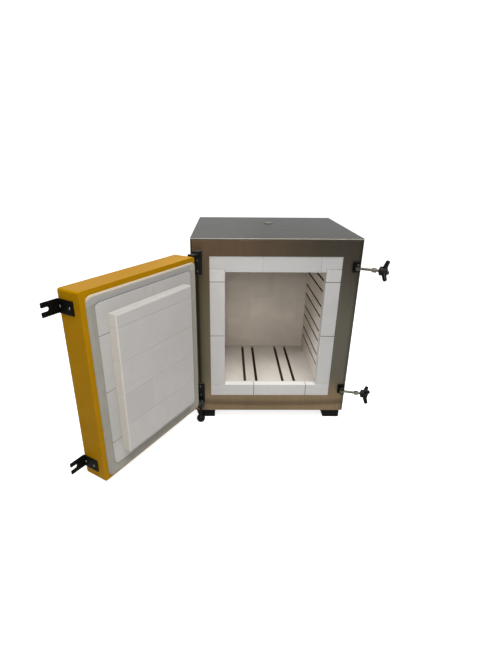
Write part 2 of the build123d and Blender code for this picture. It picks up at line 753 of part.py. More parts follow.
def latch_plate(name, z):
    """Angle on the door's free side with an open slot for the swing bolt."""
    with BuildPart() as angle:
        with BuildSketch(door_level(z - latch_h / 2)):
            rect(door_w, door_w + latch_t, -latch_back, -latch_leaf_in)
            rect(door_w, latch_tip, -latch_back, latch_t - latch_back)
        extrude(amount=latch_h)
        with BuildSketch(door_face(latch_back - latch_t)):
            with Locations((latch_slot_end + latch_slot_w / 2, z)):
                Circle(latch_slot_w / 2)
            rect(latch_slot_end + latch_slot_w / 2, latch_tip + 1,
                 z - latch_slot_w / 2, z + latch_slot_w / 2)
        extrude(amount=latch_t, mode=Mode.SUBTRACT)
        tips = angle.edges().filter_by(outward).sort_by(Axis((0, 0, 0), tuple(along)))[-4:]
        fillet(tips, latch_corner)
        bend = angle.edges().filter_by(Axis.Z).group_by(outward)[-1]
        fillet(bend.sort_by(Axis((0, 0, 0), tuple(along)))[0], latch_t)
    save(name, angle.part)


latch_plate("latch_plate_lower", latch_z[0])
latch_plate("latch_plate_upper", latch_z[1])

# Screw heads, one node for each pattern
head_r, head_h = 4.5, 2.6


def heads(name, planes):
    """Domed screw heads standing on each plane at its points."""
    with BuildPart() as group:
        for plane, points in planes:
            with BuildSketch(plane):
                with Locations(*points):
                    Circle(head_r)
            extrude(amount=head_h, taper=20)
    save(name, group.part)


heads("hinge_screws", [(facing(y_front - hinge_leaf_t),
                        [(axis_x, lower_leaf[1] - d) for d in hinge_screw_in]
                        + [(axis_x, upper_leaf[0] + d) for d in hinge_screw_in])])
door_side = Plane(origin=edge + along * (door_w + latch_t), x_dir=inward, z_dir=along)
heads("door_plate_screws", [
    (Plane(origin=edge - along * door_plate_t, x_dir=-inward, z_dir=-along),
     [(door_dy, z) for d in plate_screw_in for z in (door_bottom + d, door_top - d)]),
    (door_side, [(-latch_leaf_in - d, z) for d in latch_screw_in for z in latch_z])])
heads("cover_screws", [
    (Plane(origin=(0, y_back, 0), x_dir=(-1, 0, 0), z_dir=(0, 1, 0)),
     [(s * (cab_w / 2 - 11), z) for s in (-1, 1)
      for z in (z_base + 20, (z_base + cover_top) / 2, cover_top - 20)])])


# Swing bolts

def swing_bolt(tag, z, forward, turn):
    """Clevis, pin, eye bolt, threaded insert and three-armed knob about one pivot."""
    px, py = ring_r + pivot_out, y_front - pivot_y
    reach = Vector(cos(radians(forward)), -sin(radians(forward)), 0)
    across = Vector(sin(radians(forward)), cos(radians(forward)), 0)
    pivot = Vector(px, py, z)

    def on_rod(distance):
        return Plane(origin=pivot + reach * distance, x_dir=across, z_dir=reach)

    with BuildPart() as clevis:
        with BuildSketch(facing(y_front)):
            rounded(px - clevis_w / 2, px + clevis_w / 2, z - clevis_h / 2, z + clevis_h / 2, 4)
        extrude(amount=clevis_t)
        for low in (z - ear_gap / 2 - ear_t, z + ear_gap / 2):
            with BuildSketch(level(low)):
                rect(px - ear_r, px + ear_r, py, y_front)
                with Locations((px, py)):
                    Circle(ear_r)
                    Circle(pivot_r, mode=Mode.SUBTRACT)
            extrude(amount=ear_t)
    save("latch_bracket_" + tag, clevis.part)

    with BuildPart() as pin:
        with BuildSketch(level(z - ear_gap / 2 - ear_t - 3)):
            with Locations((px, py)):
                Circle(pivot_r)
        extrude(amount=ear_gap + 2 * ear_t + 3)
        with BuildSketch(level(z + ear_gap / 2 + ear_t)):
            with Locations((px, py)):
                Circle(pivot_r * 1.7)
        extrude(amount=4)
        fillet(pin.edges().group_by(Axis.Z)[-1], 1.5)
    save("latch_pin_" + tag, pin.part)

    with BuildPart() as bolt:
        with BuildSketch(level(z - ear_gap / 2)):
            with Locations((px, py)):
                Circle(eye_r)
        extrude(amount=ear_gap - 0.6)
        with BuildSketch(on_rod(0)):
            Circle(rod_r)
        extrude(amount=rod_end)
        with BuildSketch(level(z - ear_gap / 2)):
            with Locations((px, py)):
                Circle(pivot_r + running_fit)
        extrude(amount=ear_gap, mode=Mode.SUBTRACT)
        chamfer(bolt.faces().sort_by(Axis((0, 0, 0), tuple(reach)))[-1].edges(), 1)
        with BuildSketch(on_rod(nut_near)):
            RegularPolygon(nut_flats / 2, 6, major_radius=False)
        extrude(amount=nut_h - 1.5)
        with BuildSketch(on_rod(nut_near + nut_h - 1.5)):
            Circle(nut_flats / 2 + 2)
        extrude(amount=1.5)
    save("eye_bolt_" + tag, bolt.part)

    with BuildPart() as bush:
        with BuildSketch(on_rod(hub_near - insert_flange_t)):
            Circle(insert_flange_r)
        extrude(amount=insert_flange_t)
        with BuildSketch(on_rod(hub_near)):
            Circle(insert_r)
        extrude(amount=hub_l)
        with BuildSketch(on_rod(hub_near + hub_l)):
            Circle(insert_r + 1.5)
        extrude(amount=insert_end)
        with BuildSketch(on_rod(hub_near - insert_flange_t)):
            Circle(rod_r + running_fit)
        extrude(amount=insert_flange_t + hub_l + insert_end, mode=Mode.SUBTRACT)
    save("knob_insert_" + tag, bush.part)

    with BuildPart() as knob:
        with BuildSketch(on_rod(hub_near)):
            Circle(hub_r)
        extrude(amount=hub_l)
        chamfer(knob.edges(), 2)
        centre = pivot + reach * (hub_near + hub_l / 2)
        for i in range(3):
            a = radians(turn + 120 * i)
            rise = radians(arm_rise)
            spoke = (across * cos(a) + Vector(0, 0, sin(a))) * cos(rise) + reach * sin(rise)
            arm = Plane(origin=centre, x_dir=across * -sin(a) + Vector(0, 0, cos(a)), z_dir=spoke)
            with BuildSketch(arm.offset(arm_root)):
                Ellipse(10, 9)
            with BuildSketch(arm.offset(arm_tip / cos(rise))):
                Ellipse(8.5, 7.5)
            loft()
            fillet(knob.faces().sort_by(Axis((0, 0, 0), tuple(spoke)))[-1].edges(), 4)
        with BuildSketch(on_rod(hub_near)):
            Circle(insert_r + running_fit)
        extrude(amount=hub_l, mode=Mode.SUBTRACT)
    save("knob_" + tag, knob.part)
    heads("latch_screws_" + tag, [(facing(y_front - clevis_t),
                                   [(px, z + s * (clevis_h / 2 - clevis_screw_in))
                                    for s in (-1, 1)])])


swing_bolt("lower", latch_z[0], rod_forward[0], arm_turn[0])
swing_bolt("upper", latch_z[1], rod_forward[1], arm_turn[1])

print("hinge axis", axis_x, axis_y)
print("bolt pivot", ring_r + pivot_out, y_front - pivot_y, latch_z)
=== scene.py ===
import json
from math import cos, pi, radians, sin

import bmesh
import bpy
from bpy.props import FloatProperty, FloatVectorProperty, IntProperty, PointerProperty
from mathutils import Matrix, Vector, noise


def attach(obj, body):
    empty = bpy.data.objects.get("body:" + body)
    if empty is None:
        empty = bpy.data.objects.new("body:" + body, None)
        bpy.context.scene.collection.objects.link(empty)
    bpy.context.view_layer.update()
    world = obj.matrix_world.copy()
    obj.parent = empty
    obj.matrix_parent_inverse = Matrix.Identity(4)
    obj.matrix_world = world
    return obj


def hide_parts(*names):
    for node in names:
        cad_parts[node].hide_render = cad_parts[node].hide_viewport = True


bl_info = {
    "name": "Ceramic kiln",
    "version": (1, 0, 0),
    "blender": (4, 5, 0),
    "location": "View3D > Sidebar > Kiln",
    "description": "Dresses the bare model of a front-loading kiln with its steel, brick and fibre",
    "category": "Object",
}

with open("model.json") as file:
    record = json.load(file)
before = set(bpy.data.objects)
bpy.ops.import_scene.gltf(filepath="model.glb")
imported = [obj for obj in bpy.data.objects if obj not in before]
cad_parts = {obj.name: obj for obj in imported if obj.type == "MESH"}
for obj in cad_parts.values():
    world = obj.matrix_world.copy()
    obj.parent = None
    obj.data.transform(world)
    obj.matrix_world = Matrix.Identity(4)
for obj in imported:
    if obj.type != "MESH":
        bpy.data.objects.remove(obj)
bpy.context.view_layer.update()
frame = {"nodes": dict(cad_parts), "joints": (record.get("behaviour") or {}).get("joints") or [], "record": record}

ACROSS, BACK, UP = Vector((1, 0, 0)), Vector((0, 1, 0)), Vector((0, 0, 1))

# The door's own directions where it stands open: along its width and towards the kiln
door_joint = next(joint for joint in frame["joints"] if joint["name"] == "door_hinge")
HINGE = Vector((*door_joint["pos_m"][:2], 0))
SWING = radians(door_joint["range_deg"][1])
ALONG = Vector((cos(SWING), -sin(SWING), 0))
INWARD = Vector((sin(SWING), cos(SWING), 0))
EDGE_ALONG, EDGE_INWARD = 0.0389, 0.0166    # from the hinge's axis to the door's inner edge
DOOR_EDGE = HINGE + ALONG * EDGE_ALONG + INWARD * EDGE_INWARD

# Sizes of the details, in metres
WELD = 2e-6                  # corners nearer than this are one
BRICK_JOINT = 0.0006         # between neighbouring bricks of the bare model
JOINT_CLOSING = 0.00045      # how far a brick's end moves into its joint
SLAB_CORNER = 0.018          # radius of the door slab's corners
COIL_RADIUS = 0.0077         # outside of a heating coil
COIL_BEND = 0.0085           # radius of its middle line's bends
COIL_STEP = 0.004            # distance between the points of that line
TAIL_RADIUS = 0.0028
TAIL_OVERLAP = 0.004         # how far a tail starts inside its coil
TAIL_MIDDLE = 0.18           # a point on the way from the coil to its connector
SEAL_LAP = 0.0085            # how far the seal hangs below the bare one
SEAL_CORNERS = (0.022, 0.0175)    # outer and inner radius
THREAD_START, THREAD_END = 0.016, 0.1085    # from the bolt's pivot
THREAD_RADIUS, THREAD_RIDGE = 0.00475, 0.0005
HEAD_RADIUS = 0.0045         # button-head screws

# The seal's section: share of its width from outside to inside, share of its height
SEAL_SECTION = [(0.0, 0.0), (0.0, 0.3), (0.05, 0.56), (0.11, 0.76), (0.19, 0.92), (0.27, 1.0),
                (0.35, 0.99), (0.46, 0.86), (0.6, 0.64), (0.74, 0.42), (0.87, 0.27), (1.0, 0.22),
                (1.0, 0.0)]

# A screw head's rings: share of its radius, share of its height, part of the socket or not
HEAD_RINGS = [(1.0, 0.0, False), (1.0, 0.25, False), (0.93, 0.58, False), (0.74, 0.86, False),
              (0.52, 1.0, False), (0.46, 1.0, True), (0.46, 0.35, True)]

# The photograph's camera, from the casing's and door's straight edges
CAMERA_EYE = Vector((-0.1887, -1.860, 1.0759))
CAMERA_YAW, CAMERA_PITCH, CAMERA_ROLL = 0.012, 0.408, 0.008
CAMERA_LENS, CAMERA_SENSOR = 22.64, 36.0
CAMERA_SHIFT = (0.0283, 0.0179)

# Lamps
LAMP_COLOUR = (1.0, 0.985, 0.965)
LAMP_AIM = Vector((0, -0.3, 0.45))
LAMP_AWAY, LAMP_SIZE = 4.5, 3.0
FILL_OVER_CAMERA, FILL_SIZE = 0.15, 0.4
BEAM_SPOT, BEAM_AIM = Vector((-1.53, -1.68, 2.57)), Vector((0.15, -0.12, 0.2))
BEAM_CONE, BEAM_SIZE = radians(7.6), 0.2


def on_door(u, z, n):
    """Place on the door: along its width, up, and towards the kiln."""
    return DOOR_EDGE + ALONG * u + INWARD * n + UP * z


# Values that a user can change

def tint(name, description, *default):
    return FloatVectorProperty(
        name=name, description=description, default=default, subtype="COLOR", size=3, min=0, max=1)


def length(name, description, default, least, most):
    return FloatProperty(
        name=name, description=description, default=default, unit="LENGTH", min=least, max=most)


def power_value(name, description, default):
    return FloatProperty(
        name=name, description=description, default=default, unit="POWER", min=0)


def angle_value(name, description, degrees, least, most):
    return FloatProperty(
        name=name, description=description, default=radians(degrees), subtype="ANGLE",
        min=least, max=most)


def level_value(name, description, default, most=1):
    return FloatProperty(name=name, description=description, default=default, min=0, max=most)


class KilnFinishes(bpy.types.PropertyGroup):
    """Colours of the kiln's materials"""
    # The five casing colours paint the room's reflection into the steel: darker high up and on the latch side,
    # warmer near the floor (painted reflection).
    casing_top_left: tint(
        "Casing, top left", "Brushed steel high on the hinge side", 0.106, 0.064, 0.033)
    casing_top_right: tint(
        "Casing, top right", "Brushed steel high on the latch side", 0.05, 0.042, 0.029)
    casing_left: tint("Casing, left", "Brushed steel halfway up the hinge side", 0.142, 0.117, 0.069)
    casing_right: tint("Casing, right", "Brushed steel halfway up the latch side", 0.108, 0.1, 0.076)
    casing_low: tint("Casing, low", "Warmer brushed steel near the floor", 0.215, 0.152, 0.085)
    lid: tint("Top steel", "Neutral grey of the top panel", 0.05, 0.051, 0.049)
    enamel: tint("Door enamel", "Ochre yellow of the door's steel tray", 0.36, 0.178, 0.0)
    brick: tint("Firebrick", "Pale insulating brick round the mouth", 0.51, 0.505, 0.5)
    door_brick: tint(
        "Door firebrick", "Slightly greyer brick of the door's slab and plug", 0.46, 0.447, 0.435)
    fired_brick: tint("Fired brick", "Warmer brick inside the chamber", 0.7, 0.64, 0.57)
    hearth_brick: tint("Hearth brick", "Brick of the chamber's floor", 0.68, 0.64, 0.585)
    fibre: tint("Gasket fibre", "Warm grey of the door seal", 0.264, 0.25, 0.212)
    iron: tint("Black iron", "Black paint on hinges, latches and knobs", 0.003, 0.003, 0.0025)
    steel: tint("Bright steel", "Screws on the door", 0.2, 0.2, 0.18)
    rod: tint("Rod steel", "Oiled steel of rods, pins and hinge screws", 0.12, 0.115, 0.09)
    rubber: tint("Foot rubber", "Black rubber of the block feet", 0.003, 0.003, 0.003)


class KilnSizes(bpy.types.PropertyGroup):
    """Sizes of the details that are added to the bare model"""
    brick_arris: length("Brick arris", "Rounding along the edges of a brick", 0.0012, 0.0002, 0.004)
    sheet_arris: length(
        "Sheet arris", "Rounding along the edges of the sheet metal", 0.0005, 0.0001, 0.001)
    iron_arris: length(
        "Iron arris", "Rounding along the edges of the black ironwork", 0.0006, 0.0001, 0.002)
    gasket_rise: length(
        "Gasket rise", "How far the seal stands off the door's flange", 0.0072, 0.002, 0.0074)
    gasket_waver: length("Gasket waver", "Unevenness of the soft seal", 0.0007, 0, 0.002)
    coil_pitch: length("Coil pitch", "Distance between turns of a heating coil", 0.006, 0.003, 0.02)
    coil_wire: length("Coil wire", "Radius of the resistance wire", 0.0009, 0.0004, 0.002)
    thread_pitch: length("Thread pitch", "Rise of one turn of the bolt's thread", 0.0015, 0.0008, 0.003)
    head_sides: IntProperty(
        name="Screw head sides", description="Facets round a screw head",
        default=24, min=12, max=48)


class KilnStage(bpy.types.PropertyGroup):
    """Floor, light and camera"""
    floor: tint("Floor", "Pale floor under the kiln", 0.86, 0.86, 0.86)
    bounce: level_value("Floor bounce", "Brightness of the floor as it lights the kiln", 0.8)
    backdrop: level_value(
        "Backdrop", "Brightness of the wall behind the kiln as the kiln mirrors it", 0.8)
    lamp: power_value("Lamp power", "Power of the large soft lamp", 194.0)
    fill: power_value("Fill power", "Power of the small lamp over the camera", 7.0)
    beam: power_value("Beam power", "Power of the narrow lamp that shines into the mouth", 134.0)
    lamp_side: angle_value(
        "Lamp direction", "Turn of the lamp from straight in front to the right", 9, -pi, pi)
    lamp_height: angle_value(
        "Lamp elevation", "Height of the lamp over the level of the kiln", 68, 0, pi / 2)
    ambient: level_value("Ambient", "Strength of the even light from all round", 0.22, 2)


# Node trees

def new_material(name, metallic, roughness, sheen=0.0):
    material = bpy.data.materials.new(name)
    material.use_nodes = True
    shader = material.node_tree.nodes["Principled BSDF"]
    for key, value in (("Metallic", metallic), ("Roughness", roughness), ("Sheen Weight", sheen)):
        shader.inputs[key].default_value = value
    return material, material.node_tree


def add(tree, kind, **values):
    """New shader node with the values of its sockets or settings."""
    node = tree.nodes.new("ShaderNode" + kind)
    for key, value in values.items():
        if key in node.inputs:
            node.inputs[key].default_value = value
        else:
            setattr(node, key, value)
    return node


def feed(tree, socket, value):
    """Give a socket the output of another node, a number or a colour."""
    if isinstance(value, bpy.types.NodeSocket):
        tree.links.new(value, socket)
    elif isinstance(value, (int, float)):
        socket.default_value = value
    else:
        socket.default_value = (*value[:3], 1)


def place(tree, scale=(1, 1, 1)):
    """Coordinates of the piece where it stands, stretched along each axis."""
    where = add(tree, "TexCoord")
    stretch = add(tree, "Mapping")
    stretch.inputs["Scale"].default_value = scale
    tree.links.new(where.outputs["Object"], stretch.inputs["Vector"])
    return stretch.outputs["Vector"]


def cloudy(tree, scale, detail=3.0, rough=0.5):
    """Cloudy pattern; scale is one for all axes or one for each."""
    cloud = add(tree, "TexNoise", Scale=1.0, Detail=detail, Roughness=rough)
    scales = scale if isinstance(scale, tuple) else (scale,) * 3
    tree.links.new(place(tree, scales), cloud.inputs["Vector"])
    return cloud.outputs["Fac"]


def steps(tree, value, *stops):
    """Grey or coloured ramp; each stop is a position and a colour."""
    ramp = add(tree, "ValToRGB")
    line = ramp.color_ramp
    while len(line.elements) < len(stops):
        line.elements.new(0.5)
    for element, (at, tone) in zip(line.elements, stops):
        element.position = at
        element.color = (tone, tone, tone, 1) if isinstance(tone, float) else (*tone, 1)
    tree.links.new(value, ramp.inputs["Fac"])
    return ramp.outputs["Color"]


def blend(tree, factor, first, second, mode="MIX"):
    """Mix two colours; each is a socket or a colour, and the factor a socket or a number."""
    mix = add(tree, "Mix", data_type="RGBA", blend_type=mode)
    for index, value in ((0, factor), (6, first), (7, second)):
        feed(tree, mix.inputs[index], value)
    return mix.outputs[2]


def times(tree, colour, by, amount=1.0):
    """A colour multiplied by another, or by a grey level, as far as the amount says."""
    by = (by, by, by) if isinstance(by, float) else by
    return blend(tree, amount, colour, by, "MULTIPLY")


def mottle(tree, colour, cloud, amount, dark=0.38, light=0.62):
    """A colour with a cloud laid over it."""
    return blend(tree, amount, colour, steps(tree, cloud, (0.3, dark), (0.7, light)), "OVERLAY")


def complete(material, colour, relief, rough=None, shine=None):
    """A material with its colour, relief, roughness and shine.

    relief is a cloud, its height and its strength; rough is a cloud and two levels.
    """
    tree = material.node_tree
    shader = tree.nodes["Principled BSDF"]
    feed(tree, shader.inputs["Base Color"], colour)
    if rough:
        cloud, low, high = rough
        feed(tree, shader.inputs["Roughness"], steps(tree, cloud, (0.3, low), (0.7, high)))
    if shine is not None:
        feed(tree, shader.inputs["Specular IOR Level"], shine)
    cloud, height, strength = relief
    bump = add(tree, "Bump", Distance=height, Strength=strength)
    tree.links.new(cloud, bump.inputs["Height"])
    tree.links.new(bump.outputs["Normal"], shader.inputs["Normal"])
    return material


def shade(colour, factor):
    return tuple(min(1.0, c * factor) for c in colour)


def span(tree, value, low, high, smooth_ends=False):
    """0 at low, 1 at high, and level beyond them."""
    rise = add(tree, "MapRange",
               interpolation_type="SMOOTHSTEP" if smooth_ends else "LINEAR")
    rise.inputs["From Min"].default_value = low
    rise.inputs["From Max"].default_value = high
    tree.links.new(value, rise.inputs["Value"])
    return rise.outputs["Result"]


def parts(tree, kind="Object"):
    """The place, or the direction that the surface faces, along x, y and z."""
    where = add(tree, "TexCoord")
    split = add(tree, "SeparateXYZ")
    tree.links.new(where.outputs[kind], split.inputs[0])
    return split.outputs


def band(tree, axis, low, high, smooth_ends=True):
    """0 at low, 1 at high along one axis of the place, in metres."""
    return span(tree, parts(tree)[axis], low, high, smooth_ends)


def facing(tree, way, low=0.6, high=0.9):
    """How far a surface looks along a direction: 0 at low, 1 at high."""
    normal = add(tree, "TexCoord").outputs["Normal"]
    share = add(tree, "VectorMath", operation="DOT_PRODUCT")
    tree.links.new(normal, share.inputs[0])
    share.inputs[1].default_value = way
    return span(tree, share.outputs["Value"], low, high)


def reckon(tree, kind, *values):
    """Result of a calculation with sockets or numbers."""
    result = add(tree, "Math", operation=kind)
    for socket, value in zip(result.inputs, values):
        feed(tree, socket, value)
    return result.outputs[0]


def product(tree, first, second):
    return reckon(tree, "MULTIPLY", first, second)


def sloped(tree, axis, other, slope, bow=0.0):
    """Place along one axis, plus a slope and a bow along another."""
    xyz = parts(tree)
    bend = reckon(tree, "ADD", product(tree, xyz[other], bow), slope)
    return reckon(tree, "ADD", xyz[axis], product(tree, xyz[other], bend))


# Finishes

# Colour of the painted shade inside the element grooves
GROOVE_SHADE = (0.07, 0.05, 0.035)


def brushed_casing(finishes, front=False):
    """Dark brushed steel sheet, the room's reflection painted into its tone: darker high up, warmer near the
    floor.
    """
    side_to_side, upwards, downwards = (-0.3, 0.3), (0.45, 0.8), (0.24, 0.1)
    name = "fascia_brushed_steel" if front else "casing_brushed_steel"
    material, tree = new_material(name, 0.6, 0.42)
    grain = cloudy(tree, (420, 420, 6), 4.0)
    # Painted reflection: tone blended across the sheet and from top to bottom
    across = band(tree, 0, *side_to_side)
    high = blend(tree, across, finishes.casing_top_left, finishes.casing_top_right)
    middle = blend(tree, across, finishes.casing_left, finishes.casing_right)
    colour = blend(tree, band(tree, 2, *upwards), middle, high)
    colour = blend(tree, band(tree, 2, *downwards), colour, finishes.casing_low)
    if front:
        colour = fascia_shadows(tree, colour)
    colour = mottle(tree, colour, grain, 0.35)
    colour = mottle(tree, colour, cloudy(tree, (9, 9, 2), 2.0), 0.3)
    return complete(material, colour, (grain, 0.0001, 0.25), (grain, 0.38, 0.5))


def fascia_shadows(tree, colour):
    """Painted reflection band low across the front, painted shadow and reflection of the open door's edge beside
    it, and darker towards the fold on the right.
    """
    reflection_low, reflection_high = 0.062, 0.102
    line_left, line_right = -0.311, -0.256
    line_starts, line_ends = (0.13, 0.16), (0.77, 0.7)
    fold = (0.312, 0.322)
    # Painted reflection: a soft dark band low on the sheet, bowed as the floor's horizon is in it
    bowed = sloped(tree, 2, 0, 0.0, -0.08)
    reflection_band = steps(tree, span(tree, bowed, reflection_low, reflection_high), (0.0, 1.0), (0.25, 0.62),
                   (0.5, 0.6), (1.0, 1.0))
    colour = times(tree, colour, reflection_band)
    # Painted shadow and reflection of the open door's edge: near black beside it, olive further out, between the
    # hinges' heights
    beside = sloped(tree, 0, 2, 0.005)
    shadow = steps(tree, span(tree, beside, line_left, line_right), (0.0, 1.0), (0.06, 0.12),
                   (0.18, 0.12), (0.27, (0.42, 0.46, 0.42)), (0.38, (0.64, 0.74, 0.7)),
                   (0.6, (0.84, 0.9, 0.88)), (1.0, 1.0))
    limit = product(tree, band(tree, 2, *line_starts), band(tree, 2, *line_ends))
    colour = times(tree, colour, shadow, limit)
    return times(tree, colour, (0.72, 0.74, 0.74), band(tree, 0, *fold))


def brushed_lid(finishes):
    """Grey top sheet, smoother and cooler than the front, with painted reflection paler on the left and a painted
    highlight along the front edge.
    """
    material, tree = new_material("lid_brushed_steel", 0.1, 0.36)
    grain = cloudy(tree, (6, 420, 420), 4.0)
    cloud = cloudy(tree, (4, 7, 4), 2.0)
    colour = blend(tree, cloud, shade(finishes.lid, 0.94), shade(finishes.lid, 1.06))
    # Painted reflection: paler towards the left
    to_left = (0.0, -0.2)
    colour = blend(tree, band(tree, 0, *to_left), colour, shade(finishes.lid, 1.4))
    colour = mottle(tree, colour, grain, 0.25)
    # Painted highlight: a bright line along the front edge
    front, top = face_of("top_panel", 1, min), face_of("top_panel", 2, max)
    painted_light = product(tree, band(tree, 1, front + 0.005, front + 0.001, False),
                   band(tree, 2, top - 0.005, top - 0.004, False))
    colour = blend(tree, painted_light, colour, (0.27, 0.255, 0.215))
    return complete(material, colour, (grain, 0.0001, 0.2), (grain, 0.24, 0.36), 0.03)


def powder_enamel(finishes):
    """Yellow powder coat with a faint orange-peel surface and grubby handling marks."""
    material, tree = new_material("door_powder_enamel", 0.0, 0.5)
    peel = cloudy(tree, 520.0, 2.0)
    grime = cloudy(tree, (5, 5, 9), 5.0, 0.65)
    colour = blend(tree, steps(tree, grime, (0.42, 0.0), (0.72, 0.5)), finishes.enamel,
                   shade(finishes.enamel, 0.72))
    # Painted light: the upper face paler, the more so towards the hinge
    up, towards_hinge = facing(tree, UP), (-0.48, -0.34)
    pale = blend(tree, band(tree, 0, *towards_hinge), shade(finishes.enamel, 1.15),
                 shade(finishes.enamel, 1.34))
    return complete(material, blend(tree, up, colour, pale), (peel, 0.0002, 0.25),
                    (grime, 0.4, 0.52), steps(tree, up, (0.0, 0.035), (1.0, 0.09)))


def porous_brick(name, colour, stain, joint=None, shaded_grooves=None, slots=(), shaded=False,
                 painted_light=False, lit_free_side=False, ends=(), lit_face=None, dim=(),
                 line=(0.05, 0.045, 0.04)):
    """Insulating firebrick: each brick its own tone, with fine pores and rubbed patches.

    joint is the axis that the jointed faces look along, line their colour there and ends
    the heights between which they show; shaded_grooves gives an axis and the places along it
    between which the grooves get painted shade; slots are the middles of the floor grooves
    whose insides get painted shade, and the place where they end; shaded paints shade on the
    upper right; painted_light pales the lower front with painted light; lit_free_side paints
    light, warmer in tone, on the side towards the door's free edge; lit_face is the direction
    and the factor of a face made paler with painted light; dim lists axes, ranges and levels
    of darkening, or of painted light where a level is above one.
    """
    material, tree = new_material(name, 0.0, 0.95)
    each = add(tree, "NewGeometry").outputs["Random Per Island"]
    tone = blend(tree, each, shade(colour, 0.95), shade(colour, 1.05))
    patch = cloudy(tree, 16.0, 5.0, 0.6)
    tone = blend(tree, steps(tree, patch, (0.38, 0.0), (0.75, 0.55)), tone, stain)
    pores = add(tree, "TexVoronoi", Scale=650.0, Randomness=1.0)
    tree.links.new(place(tree), pores.inputs["Vector"])
    pit = steps(tree, pores.outputs["Distance"], (0.08, 0.0), (0.26, 1.0))
    tone = times(tree, tone, pit, 0.16)
    if joint is not None:
        jointed = reckon(tree, "ABSOLUTE", parts(tree, "Normal")[joint])
        jointed = span(tree, jointed, 0.6, 0.85)
        for end, way in zip(ends, (1, -1)):
            inside = band(tree, 2, end + way * 0.004, end + way * 0.008, False)
            jointed = product(tree, jointed, inside)
        tone = blend(tree, jointed, tone, line)
    # Painted light on the faces that look one way
    if lit_face:
        way, factor = lit_face
        tone = blend(tree, facing(tree, way, 0.5, 0.85), tone, shade(colour, factor))
    if shaded:
        to_right, upwards = (0.0, 0.27), (-0.25, 0.55)
        corner = product(tree, band(tree, 0, *to_right), band(tree, 2, *upwards))
        tone = times(tree, tone, 0.87, corner)
    for axis, low, high, level in dim:
        tone = times(tree, tone, level, band(tree, axis, low, high))
    # Painted light on the lower front
    if painted_light:
        to_front, downwards = (0.0, -0.27), (0.62, 0.3)
        pale = product(tree, band(tree, 1, *to_front), band(tree, 2, *downwards))
        tone = blend(tree, pale, tone, (0.93, 0.9, 0.86))
    # Painted light, warmer in tone, on the side towards the door's free edge
    if lit_free_side:
        cream = [c * factor for c, factor in zip(colour, (1.16, 1.13, 1.05))]
        tone = blend(tree, facing(tree, ALONG, 0.5, 0.9), tone, cream)
    # Painted shade inside the grooves
    if shaded_grooves:
        tone = blend(tree, band(tree, *shaded_grooves, False), tone, GROOVE_SHADE)
    # Painted shade inside the floor's grooves, along their middles
    if slots:
        middles, front = slots
        rim_outside, rim_inside = 0.0064, 0.0056
        for middle in middles:
            off = reckon(tree, "ABSOLUTE", reckon(tree, "SUBTRACT", parts(tree)[0], middle))
            rim = product(tree, span(tree, off, rim_outside, rim_inside),
                          band(tree, 1, front - 0.001, front, False))
            tone = blend(tree, rim, tone, GROOVE_SHADE)
    rough_ground = blend(tree, 0.5, pit, cloudy(tree, 900.0, 2.0))
    return complete(material, tone, (rough_ground, 0.0006, 0.35), shine=0.2)


def fibre_felt(finishes):
    """Matted ceramic fibre of the door seal."""
    material, tree = new_material("gasket_fibre_felt", 0.0, 1.0, 0.25)
    strands = cloudy(tree, (160, 160, 900), 5.0, 0.7)
    soil = cloudy(tree, 22.0, 4.0)
    tone = blend(tree, soil, shade(finishes.fibre, 0.88), shade(finishes.fibre, 1.12))
    tone = mottle(tree, tone, strands, 0.25, 0.3, 0.7)
    # Upper run: painted light on the ridge's upward faces, and a cooler painted light on the inner slope that
    # looks down
    top = face_of("door_gasket", 2, max)
    run = band(tree, 2, top - 0.03, top - 0.026, False)
    for low, high, pale in ((0.1, 0.6, (0.45, 0.385, 0.3)), (0.1, -0.15, (0.36, 0.35, 0.345))):
        tone = blend(tree, product(tree, run, facing(tree, UP, low, high)), tone, pale)
    return complete(material, tone, (strands, 0.0006, 0.5))


def black_paint(name, colour, roughness, rub, shine=0.18, top_sheen=None):
    """Black paint or plastic, a little lighter where edges are rubbed, with a painted sheen on upward faces where
    top_sheen is given.
    """
    material, tree = new_material(name, 0.0, roughness)
    grain = cloudy(tree, 380.0, 3.0)
    edge = steps(tree, add(tree, "NewGeometry").outputs["Pointiness"],
                 (0.52, 0.0), (0.6, 1.0))
    patch = steps(tree, cloudy(tree, 120.0, 4.0), (0.45, 0.0), (0.7, 1.0))
    tone = blend(tree, times(tree, edge, patch), colour, rub)
    # Painted sheen on the faces that look up
    if top_sheen:
        tone = blend(tree, facing(tree, UP), tone, top_sheen)
    return complete(material, tone, (grain, 0.0002, 0.3),
                    (grain, roughness - 0.06, roughness + 0.08), shine)


def turned_steel(name, colour, roughness=0.3):
    """Turned or plated metal with fine scratches."""
    material, tree = new_material(name, 1.0, roughness)
    scratch = cloudy(tree, (300, 300, 40), 4.0)
    dull = cloudy(tree, 90.0, 3.0)
    tone = blend(tree, dull, shade(colour, 0.75), shade(colour, 1.2))
    return complete(material, tone, (scratch, 0.00008, 0.3),
                    (scratch, roughness - 0.08, roughness + 0.12))


def face_of(node, axis, pick):
    """Outermost place of a node along an axis."""
    return pick(v.co[axis] for v in frame["nodes"][node].data.vertices)


def toned(colour, main=1.0, stain=0.9):
    """A brick's main tone and its stain, as shares of a colour."""
    return shade(colour, main), shade(colour, stain)


